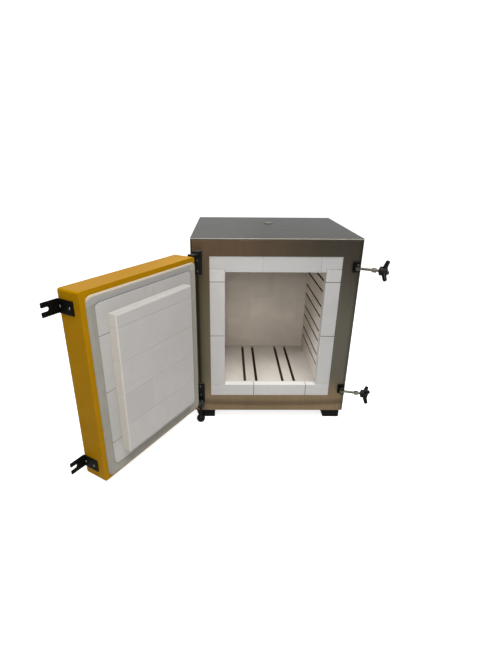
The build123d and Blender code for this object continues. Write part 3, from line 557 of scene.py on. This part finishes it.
def brick_finishes(finishes):
    left, right = face_of("wall_bricks_left", 0, max), face_of("wall_bricks_right", 0, min)
    hearth = face_of("floor_bricks", 2, max)
    jamb_ends = [face_of("jamb_bricks_right", 2, pick) for pick in (min, max)]
    floor_coils = islands("elements_floor")
    grooves = []
    for solid in floor_coils:
        grooves += [min(p.x for p in solid) + COIL_RADIUS, max(p.x for p in solid) - COIL_RADIUS]
    grooves_front = min(p.y for solid in floor_coils for p in solid)
    # The main tones (lintel 0.94, sill and plug 1.06, back wall 1.1) make lit and shaded copies of one brick
    # colour: painted light and shade.
    return {
        "brick": porous_brick(
            "mouth_firebrick", *toned(finishes.brick, 0.94, 0.85), shaded=True),
        # Painted light on the jamb faces that look to the left
        "jamb_brick": porous_brick(
            "jamb_firebrick", *toned(finishes.brick), joint=2, shaded=True, ends=jamb_ends,
            lit_face=(-ACROSS, 1.45)),
        # Painted light on the sill's top
        "sill_brick": porous_brick(
            "sill_firebrick", *toned(finishes.brick, 1.06, 0.95), joint=0, shaded=True,
            lit_face=(UP, 1.4)),
        # Painted light on the side towards the free edge, pale joint faces as a painted highlight, painted shade
        # on the upper part
        "plug_brick": porous_brick(
            "plug_firebrick", *toned(finishes.door_brick, 1.06, 0.95), lit_free_side=True, joint=2,
            dim=((2, 0.2, 0.55, 0.93),), ends=(0.0, face_of("door_plug_bricks", 2, max)),
            line=shade(finishes.door_brick, 1.35)),
        "slab_brick": porous_brick("slab_firebrick", *toned(finishes.door_brick), joint=2),
        # Painted shade high on the back wall, painted light at its very top, darker towards the right
        "fired": porous_brick(
            "chamber_firebrick", *toned(finishes.fired_brick, 1.1, 0.924),
            dim=((2, 0.34, 0.5, 0.76), (2, 0.56, 0.65, 1.16), (0, -0.08, 0.1, 0.88))),
        # Side walls: painted shade inside the grooves; the right one also gets painted light on its lower front
        "fired_left": porous_brick(
            "left_wall_firebrick", *toned(finishes.fired_brick, 1.0, 0.84),
            shaded_grooves=(0, left - 0.0002, left - 0.0014)),
        "fired_right": porous_brick(
            "right_wall_firebrick", *toned(finishes.fired_brick, 1.0, 0.84),
            shaded_grooves=(0, right + 0.0002, right + 0.0014), painted_light=True),
        # Painted shade inside the floor grooves, and towards the front and the right
        "hearth": porous_brick(
            "hearth_firebrick", *toned(finishes.hearth_brick, 1.0, 0.84),
            shaded_grooves=(2, hearth - 0.0006, hearth - 0.003), slots=(grooves, grooves_front),
            dim=((1, -0.1, -0.27, 0.92), (0, 0.04, 0.18, 0.85))),
        "board": porous_brick("backing_fibre_board", (0.66, 0.63, 0.56), (0.6, 0.55, 0.47)),
        "sheath": porous_brick("fired_sheath", (0.72, 0.7, 0.64), (0.66, 0.6, 0.5)),
        "stopper": porous_brick("vent_stopper_brick", (0.27, 0.28, 0.24), (0.24, 0.245, 0.21)),
    }


def metal_finishes(finishes):
    rubbed_iron = (0.02, 0.019, 0.018)
    return {
        "casing": brushed_casing(finishes),
        "fascia": brushed_casing(finishes, True),
        "lid": brushed_lid(finishes),
        "enamel": powder_enamel(finishes),
        "iron": black_paint("black_ironwork", finishes.iron, 0.45, rubbed_iron),
        # Hinge iron with a painted sheen on its upward faces
        "tongue": black_paint("hinge_ironwork", finishes.iron, 0.45, rubbed_iron,
                              top_sheen=(0.06, 0.057, 0.045)),
        "plate": black_paint("latch_ironwork", finishes.iron, 0.5, (0.02, 0.014, 0.01), 0.06),
        "steel": turned_steel("bright_steel", finishes.steel),
        "rod": turned_steel("oiled_rod_steel", finishes.rod, 0.38),
        "brass": turned_steel("turned_brass", (0.4, 0.28, 0.11), 0.4),
        "insert": turned_steel("blackened_insert", (0.03, 0.03, 0.028), 0.5),
        "wire": turned_steel("oxidised_wire", (0.1, 0.075, 0.06), 0.6),
    }


def soft_finishes(finishes):
    return {
        "fibre": fibre_felt(finishes),
        "plastic": black_paint("knob_plastic", finishes.iron, 0.4, (0.012, 0.012, 0.012)),
        "rubber": black_paint("foot_rubber", finishes.rubber, 0.75, (0.02, 0.02, 0.02)),
    }


def finish(name):
    """A finish by its name; all are made the first time that one is asked for."""
    if "made" not in finish.__dict__:
        finishes = bpy.context.scene.kiln_finishes
        finish.made = {**metal_finishes(finishes), **brick_finishes(finishes),
                       **soft_finishes(finishes)}
    return finish.made[name]


# Pieces

def link(name, data):
    """Object of that data in the scene."""
    item = bpy.data.objects.new(name, data)
    bpy.context.scene.collection.objects.link(item)
    return item


def put(mesh, material, body, slot, *nodes):
    """Link a finished mesh as a piece on a body, standing for the named nodes."""
    piece = link(mesh.name, mesh)
    mesh.materials.append(finish(material))
    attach(piece, body)
    if nodes:
        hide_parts(*nodes)
    return piece


def coat(node, material):
    """Give a bare node a finish."""
    materials = frame["nodes"][node].data.materials
    materials.clear()
    materials.append(finish(material))


def smooth(mesh, angle):
    for face in mesh.polygons:
        face.use_smooth = True
    mesh.set_sharp_from_angle(angle=radians(angle))


def steady(mesh, angle=35):
    """Vertex normals that follow the largest faces, so that flat sheets stay flat."""
    smooth(mesh, angle)
    least = cos(radians(angle))
    around = [[] for _ in mesh.vertices]
    for face in mesh.polygons:
        for vert in face.vertices:
            around[vert].append(face)
    normals = []
    for face in mesh.polygons:
        for vert in face.vertices:
            near = [f for f in around[vert] if f.normal.dot(face.normal) > least]
            total = sum((f.normal * f.area for f in near), Vector())
            normals.append(total.normalized() if total.length > 1e-12 else face.normal.copy())
    mesh.normals_split_custom_set(normals)


def home_of(node):
    """Body and material slot of a node."""
    record = frame["record"]
    bodies = record["behaviour"]["bodies"]
    body = next(body for body, members in bodies.items() if node in members)
    slot = next(part["material_slot"] for part in record["subparts"] if part["node"] == node)
    return body, slot


def welded(node):
    """Working copy of a node's mesh, its corners welded."""
    work = bmesh.new()
    work.from_mesh(frame["nodes"][node].data)
    bmesh.ops.remove_doubles(work, verts=work.verts, dist=WELD)
    return work


def meshed(work, name, angle=None):
    """Mesh from a working one, smooth up to an angle where one is given."""
    mesh = bpy.data.meshes.new(name)
    work.to_mesh(mesh)
    work.free()
    if angle:
        smooth(mesh, angle)
    return mesh


def separate(work):
    """Vertices of each separate solid in a working mesh."""
    seen = set()
    groups = []
    for start in work.verts:
        stack = [] if start in seen else [start]
        seen.add(start)
        found = []
        while stack:
            vert = stack.pop()
            found.append(vert)
            for edge in vert.link_edges:
                other = edge.other_vert(vert)
                if other not in seen:
                    seen.add(other)
                    stack.append(other)
        if found:
            groups.append(found)
    return groups


def islands(node):
    """Points of a node's separate solids."""
    work = welded(node)
    groups = [[vert.co.copy() for vert in solid] for solid in separate(work)]
    work.free()
    return groups


def reach_along(points, way):
    """Lowest and highest place of points along a direction."""
    places = [p.dot(way) for p in points]
    return min(places), max(places)


def close_joints(work, way):
    """Move facing ends of neighbouring bricks towards each other, down to a hairline."""
    low, high = reach_along([v.co for v in work.verts], way)
    for solid in separate(work):
        places = [v.co.dot(way) for v in solid]
        first, last = min(places), max(places)
        for vert, spot in zip(solid, places):
            if spot - first < 1e-5 and first - low > 0.001:
                vert.co -= way * JOINT_CLOSING
            elif last - spot < 1e-5 and high - last > 0.001:
                vert.co += way * JOINT_CLOSING


def bevel(work, edges, width, segments):
    bmesh.ops.bevel(work, geom=edges, offset=width, offset_type="OFFSET", segments=segments,
                    profile=0.5, affect="EDGES", clamp_overlap=True)


def round_door_corners(work, radius):
    """Round the four outer corners of a slab on the door."""
    far = {vert: ((vert.co - DOOR_EDGE).dot(ALONG), vert.co.z) for vert in work.verts}
    sides = [(min(v[i] for v in far.values()), max(v[i] for v in far.values())) for i in (0, 1)]
    outer = [v for v, spot in far.items()
             if all(min(abs(spot[i] - end) for end in sides[i]) < 1e-4 for i in (0, 1))]
    edges = [e for e in work.edges if e.verts[0] in outer and e.verts[1] in outer
             and abs((e.verts[1].co - e.verts[0].co).normalized().dot(INWARD)) > 0.9]
    bevel(work, edges, radius, 6)


def dress(node, material, arris, segments=2, corner=28, snug=(), rounded=0):
    """Stand-in for a node with rounded edges that catch the light."""
    work = welded(node)
    bmesh.ops.dissolve_limit(work, angle_limit=radians(0.5), verts=work.verts, edges=work.edges)
    for way in snug:
        close_joints(work, way)
    if rounded:
        round_door_corners(work, rounded)
    sharp = [e for e in work.edges
             if len(e.link_faces) == 2 and e.calc_face_angle(0) > radians(corner)]
    bevel(work, sharp, arris, segments)
    mesh = meshed(work, node + "_dressed")
    steady(mesh)
    put(mesh, material, *home_of(node), node)


def skin(work, rings, around=False):
    """Faces between neighbouring rings of vertices, and from the last to the first if around."""
    following_rings = rings[1:] + rings[:1] if around else rings[1:]
    for ring, following in zip(rings, following_rings):
        for k in range(len(ring)):
            m = (k + 1) % len(ring)
            work.faces.new((ring[k], ring[m], following[m], following[k]))


def cap(work, rings):
    """Close both ends of a row of rings."""
    work.faces.new(rings[0][::-1])
    work.faces.new(rings[-1])


def on_circle(side, other, angle, radius):
    """Place on a circle round the middle, in the plane of two directions."""
    return (side * cos(angle) + other * sin(angle)) * radius


def tube(work, points, radius, sides):
    """Round closed tube through points, carried without twist."""
    rings = []
    side = None
    for i, point in enumerate(points):
        ahead = (points[min(i + 1, len(points) - 1)] - points[max(i - 1, 0)]).normalized()
        if side is None:
            side = ahead.orthogonal().normalized()
        side = (side - ahead * side.dot(ahead)).normalized()
        other = ahead.cross(side)
        rings.append([work.verts.new(point + on_circle(side, other, 2 * pi * k / sides, radius))
                      for k in range(sides)])
    skin(work, rings)
    cap(work, rings)


class Piece:
    """Shared wording of the operators that make pieces"""
    bl_options = {"REGISTER", "UNDO"}


class KILN_OT_casing(Piece, bpy.types.Operator):
    """Steel sheets of the casing, with rounded folds"""
    bl_idname = "kiln.casing"
    bl_label = "Casing"

    def execute(self, context):
        arris = context.scene.kiln_sizes.sheet_arris
        dress("front_fascia", "fascia", arris, 1)
        for node in ("side_panel_left", "side_panel_right", "rear_cover"):
            dress(node, "casing", arris, 1)
        dress("top_panel", "lid", arris)
        coat("bottom_tray", "casing")
        coat("rear_panel", "casing")
        return {"FINISHED"}


class KILN_OT_brickwork(Piece, bpy.types.Operator):
    """Firebricks of the mouth, the chamber and the door, and the boards behind them"""
    bl_idname = "kiln.brickwork"
    bl_label = "Brickwork"

    def execute(self, context):
        arris = context.scene.kiln_sizes.brick_arris
        for node, material, share, snug in (
                ("jamb_bricks_left", "jamb_brick", 1.0, ()),
                ("jamb_bricks_right", "jamb_brick", 1.0, ()),
                ("lintel_bricks", "brick", 0.5, (ACROSS,)),
                ("sill_bricks", "sill_brick", 1.0, ())):
            dress(node, material, arris * share, 2, 20, snug)
        dress("door_base_bricks", "slab_brick", arris, 2, 20, rounded=SLAB_CORNER)
        dress("door_plug_bricks", "plug_brick", arris * 0.7, 2, 20, (ALONG,))
        for node, material, snug in (
                ("wall_bricks_left", "fired_left", (BACK, UP)),
                ("wall_bricks_right", "fired_right", (BACK, UP)),
                ("back_wall_bricks", "fired", (ACROSS, UP)),
                ("roof_bricks", "fired", ()),
                ("floor_bricks", "hearth", (ACROSS, BACK))):
            dress(node, material, arris * 0.3, 1, snug=snug)
        coat("backup_boards", "board")
        coat("door_insulation", "board")
        return {"FINISHED"}


def hairpin_line(first, second, front, back):
    """Points of one hairpin from the back, round its front bends and back again."""
    across = (second - first).normalized()
    width = (second - first).length
    leg, bar = back - front - COIL_BEND, width - 2 * COIL_BEND
    rows, columns = max(2, int(leg / COIL_STEP)), max(2, int(bar / COIL_STEP))
    quarter = [radians(90) * i / 4 for i in range(5)]
    line = [(0, back - leg * i / rows) for i in range(rows)]
    line += [(COIL_BEND * (1 - cos(a)), front + COIL_BEND * (1 - sin(a))) for a in quarter]
    line += [(COIL_BEND + bar * i / columns, front) for i in range(1, columns)]
    line += [(width - COIL_BEND * (1 - sin(a)), front + COIL_BEND * (1 - cos(a)))
             for a in quarter]
    line += [(width, back - leg * (1 - i / rows)) for i in range(1, rows + 1)]
    return [first + across * s + BACK * y for s, y in line]


def coil_round(line, radius, pitch, per_turn):
    """Helix of that radius and pitch wound round a line of points."""
    lengths = [0.0]
    for a, b in zip(line, line[1:]):
        lengths.append(lengths[-1] + (b - a).length)
    total = lengths[-1]
    count = int(total / pitch * per_turn)
    points = []
    at = 0
    side = ACROSS.cross(line[1] - line[0]).normalized()
    for i in range(count + 1):
        gone = total * i / count
        while at < len(line) - 2 and lengths[at + 1] < gone:
            at += 1
        t = (gone - lengths[at]) / max(1e-9, lengths[at + 1] - lengths[at])
        ahead = (line[at + 1] - line[at]).normalized()
        side = (side - ahead * side.dot(ahead)).normalized()
        other = ahead.cross(side)
        centre = line[at].lerp(line[at + 1], t)
        points.append(centre + on_circle(side, other, 2 * pi * gone / pitch, radius))
    return points


class KILN_OT_elements(Piece, bpy.types.Operator):
    """Wound heating coils in their keyhole grooves, with straight tails through the back"""
    bl_idname = "kiln.elements"
    bl_label = "Heating elements"

    def execute(self, context):
        sizes = context.scene.kiln_sizes
        per_turn = 9
        back = face_of("back_wall_bricks", 1, min) - BRICK_JOINT
        for node in ("elements_left", "elements_right", "elements_floor"):
            work = bmesh.new()
            for solid in islands(node):
                (x0, x1), (y0, y1), (z0, z1) = [reach_along(solid, way)
                                                for way in (ACROSS, BACK, UP)]
                first = Vector((x0 + COIL_RADIUS, 0, z0 + COIL_RADIUS))
                second = Vector((x1 - COIL_RADIUS, 0, z1 - COIL_RADIUS))
                line = hairpin_line(first, second, y0 + COIL_RADIUS, back)
                wound = coil_round(line, COIL_RADIUS - sizes.coil_wire, sizes.coil_pitch, per_turn)
                tube(work, wound, sizes.coil_wire, 5)
                for leg in (first, second):
                    tail = [leg + BACK * y for y in (back - TAIL_OVERLAP, TAIL_MIDDLE, y1)]
                    tube(work, tail, TAIL_RADIUS, 8)
            put(meshed(work, node + "_coils", 60), "wire", *home_of(node), node)
        dress("element_terminals", "brass", 0.0006, 1)
        dress("thermocouple", "sheath", 0.0008)
        return {"FINISHED"}


class KILN_OT_door(Piece, bpy.types.Operator):
    """Yellow steel tray of the door"""
    bl_idname = "kiln.door"
    bl_label = "Door tray"

    def execute(self, context):
        dress("door_shell", "enamel", context.scene.kiln_sizes.sheet_arris)
        return {"FINISHED"}


def frame_line(u0, u1, z0, z1, radius, per_corner=6, per_side=44):
    """Points round a rectangle with round corners, as many on each side and corner."""
    corners = [(u1 - radius, z1 - radius, 0), (u0 + radius, z1 - radius, 90),
               (u0 + radius, z0 + radius, 180), (u1 - radius, z0 + radius, 270)]
    arcs = []
    for u, z, start in corners:
        angles = [radians(start + 90 * k / per_corner) for k in range(per_corner + 1)]
        arcs.append([(u + radius * cos(a), z + radius * sin(a)) for a in angles])
    points = []
    for arc, following in zip(arcs, arcs[1:] + arcs[:1]):
        points += arc
        (u, z), (end_u, end_z) = arc[-1], following[0]
        for k in range(1, per_side):
            t = k / per_side
            points.append((u + (end_u - u) * t, z + (end_z - z) * t))
    return points


def on_door_span(node):
    """Extents of a node on the door: along its width, and up."""
    points = [v.co - DOOR_EDGE for v in frame["nodes"][node].data.vertices]
    return reach_along(points, ALONG) + reach_along(points, UP)


class KILN_OT_gasket(Piece, bpy.types.Operator):
    """Soft fibre seal round the door's brickwork"""
    bl_idname = "kiln.gasket"
    bl_label = "Door seal"

    def execute(self, context):
        sizes = context.scene.kiln_sizes
        outer_gap, inner_gap = 0.0002, 0.0005
        u0, u1, z0, z1 = on_door_span("door_gasket")
        outer = frame_line(u0 + outer_gap, u1 - outer_gap, z0 - SEAL_LAP, z1 - outer_gap,
                           SEAL_CORNERS[0])
        u0, u1, z0, z1 = on_door_span("door_base_bricks")
        inner = frame_line(u0 + inner_gap, u1 - inner_gap, z0 + inner_gap, z1 - inner_gap,
                           SEAL_CORNERS[1])
        work = bmesh.new()
        rings = []
        for (uo, zo), (ui, zi) in zip(outer, inner):
            ring = []
            for t, h in SEAL_SECTION:
                u, z = uo + (ui - uo) * t, zo + (zi - zo) * t
                wave = noise.noise(Vector((u * 26, z * 26, t * 1.6)))
                fine = noise.noise(Vector((u * 150, z * 150, t * 5)))
                sag = sizes.gasket_waver * (0.5 + 0.9 * abs(wave) + 0.5 * fine * fine)
                rise = (sizes.gasket_rise - sag) * h
                ring.append(work.verts.new(on_door(u, z, max(0.0001, rise))))
            rings.append(ring)
        skin(work, rings, around=True)
        bmesh.ops.recalc_face_normals(work, faces=work.faces)
        seal = put(meshed(work, "door_seal", 60), "fibre", *home_of("door_gasket"), "door_gasket")
        return {"FINISHED"}


class KILN_OT_ironwork(Piece, bpy.types.Operator):
    """Hinges, slotted latch plates, swing bolt brackets and the ball foot"""
    bl_idname = "kiln.ironwork"
    bl_label = "Ironwork"

    def execute(self, context):
        arris = context.scene.kiln_sizes.iron_arris
        dress("ball_foot", "iron", arris)
        for side in ("upper", "lower"):
            for kind, paint in (("hinge_bracket_", "tongue"), ("door_hinge_plate_", "tongue"),
                                ("latch_bracket_", "iron"), ("latch_plate_", "plate")):
                dress(kind + side, paint, arris)
        for node in ("hinge_pin_upper", "hinge_washers", "latch_pin_upper", "latch_pin_lower"):
            dress(node, "rod", arris * 0.7)
        return {"FINISHED"}


class KILN_OT_swing_bolts(Piece, bpy.types.Operator):
    """Threaded eye bolts, blackened inserts and three-armed knobs"""
    bl_idname = "kiln.swing_bolts"
    bl_label = "Swing bolts"

    def execute(self, context):
        sizes = context.scene.kiln_sizes
        moves = {joint["child"]: joint for joint in frame["joints"]}
        step = 0.0005
        count = round((THREAD_END - THREAD_START) / step)
        for side in ("upper", "lower"):
            dress("eye_bolt_" + side, "rod", 0.0005)
            dress("knob_insert_" + side, "insert", 0.0004)
            dress("knob_" + side, "plastic", 0.0012, 3)
            pivot = Vector(moves["bolt_" + side]["pos_m"])
            way = Vector(moves["insert_" + side]["axis"]).normalized()
            line = [pivot + way * (THREAD_START + step * i) for i in range(count + 1)]
            work = bmesh.new()
            tube(work, coil_round(line, THREAD_RADIUS, sizes.thread_pitch, 12), THREAD_RIDGE, 4)
            put(meshed(work, "thread_" + side, 60), "rod", "bolt_" + side, "steel_rod")
        return {"FINISHED"}


def button_head(work, seat, out, height, sides):
    """Domed screw head with a six-sided socket, standing on its seat."""
    side = out.orthogonal().normalized()
    other = out.cross(side)
    rings = []
    for radius_share, height_share, six in HEAD_RINGS:
        ring = []
        for k in range(sides):
            a = 2 * pi * k / sides
            reach = HEAD_RADIUS * radius_share
            if six:
                reach *= cos(pi / 6) / cos((a % (pi / 3)) - pi / 6)
            level = seat + out * height * height_share
            ring.append(work.verts.new(level + on_circle(side, other, a, reach)))
        rings.append(ring)
    skin(work, rings)
    cap(work, rings)


def screw_direction(solid, ways):
    """The way that a screw head looks: it is shortest along that one."""
    def height(way):
        low, high = reach_along(solid, way)
        return high - low

    out = min(ways, key=height)
    middle_of_door = 0.4
    return -UP if out == UP and solid[0].z < middle_of_door else out


class KILN_OT_fasteners(Piece, bpy.types.Operator):
    """Button-head socket screws on the hinges, latches and rear cover"""
    bl_idname = "kiln.fasteners"
    bl_label = "Screws"

    def execute(self, context):
        sides = context.scene.kiln_sizes.head_sides
        for node, metal, ways in (
                ("hinge_screws", "rod", (-BACK,)),
                ("latch_screws_upper", "iron", (-BACK,)),
                ("latch_screws_lower", "iron", (-BACK,)),
                ("cover_screws", "iron", (BACK,)),
                ("door_plate_screws", "steel", (ALONG, UP))):
            work = bmesh.new()
            for solid in islands(node):
                out = screw_direction(solid, ways)
                centre = sum(solid, Vector()) / len(solid)
                low, high = reach_along(solid, out)
                seat = centre + out * (low - centre.dot(out))
                button_head(work, seat, out, high - low, sides)
            put(meshed(work, node + "_heads", 35), metal, *home_of(node), node)
        return {"FINISHED"}


class KILN_OT_fittings(Piece, bpy.types.Operator):
    """Rubber feet, vent collar and stopper, and the cable gland"""
    bl_idname = "kiln.fittings"
    bl_label = "Feet and fittings"

    def execute(self, context):
        for node in ("foot_front_left", "foot_front_right", "foot_rear_left", "foot_rear_right"):
            dress(node, "rubber", 0.002, 3)
        dress("vent_collar", "lid", 0.0005)
        dress("vent_plug", "stopper", 0.0008)
        dress("cable_gland", "plastic", 0.0008)
        return {"FINISHED"}


def split_by_camera(tree, plain, seen, output):
    """Let the camera see one shader and all other rays meet the other."""
    pick = add(tree, "MixShader")
    from_camera = add(tree, "LightPath").outputs["Is Camera Ray"]
    for socket, value in zip(pick.inputs, (from_camera, plain, seen)):
        tree.links.new(value, socket)
    tree.links.new(pick.outputs[0], tree.nodes[output].inputs["Surface"])


def lay_floor(stage):
    """Floor that shows white, keeps the shadow and throws a plainer light back."""
    reach, level = 8, -0.0006
    mesh = bpy.data.meshes.new("floor")
    corners = ((-reach, -reach), (reach, -reach), (reach, reach), (-reach, reach))
    mesh.from_pydata([(x, y, level) for x, y in corners], [], [(0, 1, 2, 3)])
    floor = link("floor", mesh)
    material, tree = new_material("studio_floor", 0.0, 0.9)
    shader = tree.nodes["Principled BSDF"]
    feed(tree, shader.inputs["Base Color"], stage.floor)
    shader.inputs["Specular IOR Level"].default_value = 0.1
    glow = add(tree, "Emission", Color=(1, 1, 1, 1), Strength=0.78)
    bounce = add(tree, "BsdfDiffuse", Color=(*[stage.bounce] * 3, 1))
    both = add(tree, "AddShader")
    tree.links.new(shader.outputs["BSDF"], both.inputs[0])
    tree.links.new(glow.outputs["Emission"], both.inputs[1])
    split_by_camera(tree, bounce.outputs["BSDF"], both.outputs[0], "Material Output")
    mesh.materials.append(material)


def make_surroundings(scene, stage):
    """White for the camera, else an even light with a paler wall low behind the kiln."""
    world = bpy.data.worlds.new("studio")
    world.use_nodes = True
    scene.world = world
    tree = world.node_tree
    back = tree.nodes["Background"]
    back.inputs["Color"].default_value = (1, 1, 1, 1)
    xyz = parts(tree, "Generated")
    behind, low_down = (0.2, 0.85), (0.75, 0.3)
    wall = product(tree, span(tree, xyz[1], *behind, True), span(tree, xyz[2], *low_down, True))
    feed(tree, back.inputs["Strength"],
         reckon(tree, "MULTIPLY_ADD", wall, stage.backdrop - stage.ambient, stage.ambient))
    white = add(tree, "Background", Color=(1, 1, 1, 1), Strength=1.0)
    split_by_camera(tree, back.outputs[0], white.outputs[0], "World Output")


def add_lamp(name, kind, spot, aim, power, **settings):
    """Lamp at a spot that shines at an aim."""
    data = bpy.data.lights.new(name, kind)
    data.energy = power
    data.color = LAMP_COLOUR
    for key, value in settings.items():
        setattr(data, key, value)
    lamp = link(name, data)
    lamp.location = spot
    lamp.rotation_euler = (spot - aim).to_track_quat("Z", "Y").to_euler()


def stand_camera(scene):
    """Camera of the photograph, its lens shifted as there."""
    forward = Vector((sin(CAMERA_YAW) * cos(CAMERA_PITCH), cos(CAMERA_YAW) * cos(CAMERA_PITCH),
                      -sin(CAMERA_PITCH)))
    right = Vector((cos(CAMERA_YAW), -sin(CAMERA_YAW), 0))
    above = right.cross(forward)
    across = right * cos(CAMERA_ROLL) + above * sin(CAMERA_ROLL)
    over = above * cos(CAMERA_ROLL) - right * sin(CAMERA_ROLL)
    data = bpy.data.cameras.new("camera")
    data.sensor_fit = "VERTICAL"
    data.sensor_height = CAMERA_SENSOR
    data.lens = CAMERA_LENS
    data.shift_x, data.shift_y = CAMERA_SHIFT
    data.clip_end = 100
    camera = link("camera", data)
    turned = Matrix((across, over, -forward)).transposed().to_4x4()
    camera.matrix_world = Matrix.Translation(CAMERA_EYE) @ turned
    scene.camera = camera


class KILN_OT_stage(bpy.types.Operator):
    """Pale floor, soft lamps and the camera"""
    bl_idname = "kiln.stage"
    bl_label = "Floor, light and camera"

    def execute(self, context):
        scene = context.scene
        stage = scene.kiln_stage
        scene.view_settings.view_transform = "Standard"
        lay_floor(stage)
        make_surroundings(scene, stage)
        level = cos(stage.lamp_height)
        away = Vector((sin(stage.lamp_side) * level, -cos(stage.lamp_side) * level,
                       sin(stage.lamp_height)))
        add_lamp("soft_lamp", "AREA", LAMP_AIM + away * LAMP_AWAY, LAMP_AIM, stage.lamp,
                 shape="DISK", size=LAMP_SIZE)
        add_lamp("fill_lamp", "AREA", CAMERA_EYE + UP * FILL_OVER_CAMERA, LAMP_AIM, stage.fill,
                 shape="DISK", size=FILL_SIZE)
        add_lamp("mouth_lamp", "SPOT", BEAM_SPOT, BEAM_AIM, stage.beam, spot_size=BEAM_CONE,
                 spot_blend=1.0, shadow_soft_size=BEAM_SIZE)
        stand_camera(scene)
        return {"FINISHED"}


class KILN_PT_panel(bpy.types.Panel):
    """Buttons and values of the kiln"""
    bl_idname = "KILN_PT_panel"
    bl_label = "Ceramic kiln"
    bl_space_type = "VIEW_3D"
    bl_region_type = "UI"
    bl_category = "Kiln"

    def draw(self, context):
        for step in STEPS:
            self.layout.operator(step.bl_idname)
        for name in GROUPS:
            group = getattr(context.scene, name)
            box = self.layout.box()
            for key in group.bl_rna.properties.keys():
                if key not in ("rna_type", "name"):
                    box.prop(group, key)


GROUPS = {"kiln_finishes": KilnFinishes, "kiln_sizes": KilnSizes, "kiln_stage": KilnStage}
STEPS = (KILN_OT_casing, KILN_OT_brickwork, KILN_OT_elements, KILN_OT_door, KILN_OT_gasket,
         KILN_OT_ironwork, KILN_OT_swing_bolts, KILN_OT_fasteners, KILN_OT_fittings,
         KILN_OT_stage)
CLASSES = (*GROUPS.values(), *STEPS, KILN_PT_panel)


def register():
    for item in CLASSES:
        bpy.utils.register_class(item)
    for name, group in GROUPS.items():
        setattr(bpy.types.Scene, name, PointerProperty(type=group))


def unregister():
    for name in GROUPS:
        delattr(bpy.types.Scene, name)
    for item in reversed(CLASSES):
        bpy.utils.unregister_class(item)


def main():
    register()
    bpy.ops.kiln.casing()
    bpy.ops.kiln.brickwork()
    bpy.ops.kiln.elements()
    bpy.ops.kiln.door()
    bpy.ops.kiln.gasket()
    bpy.ops.kiln.ironwork()
    bpy.ops.kiln.swing_bolts()
    bpy.ops.kiln.fasteners()
    bpy.ops.kiln.fittings()
    bpy.ops.kiln.stage()
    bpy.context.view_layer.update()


if __name__ == "__main__":
    main()
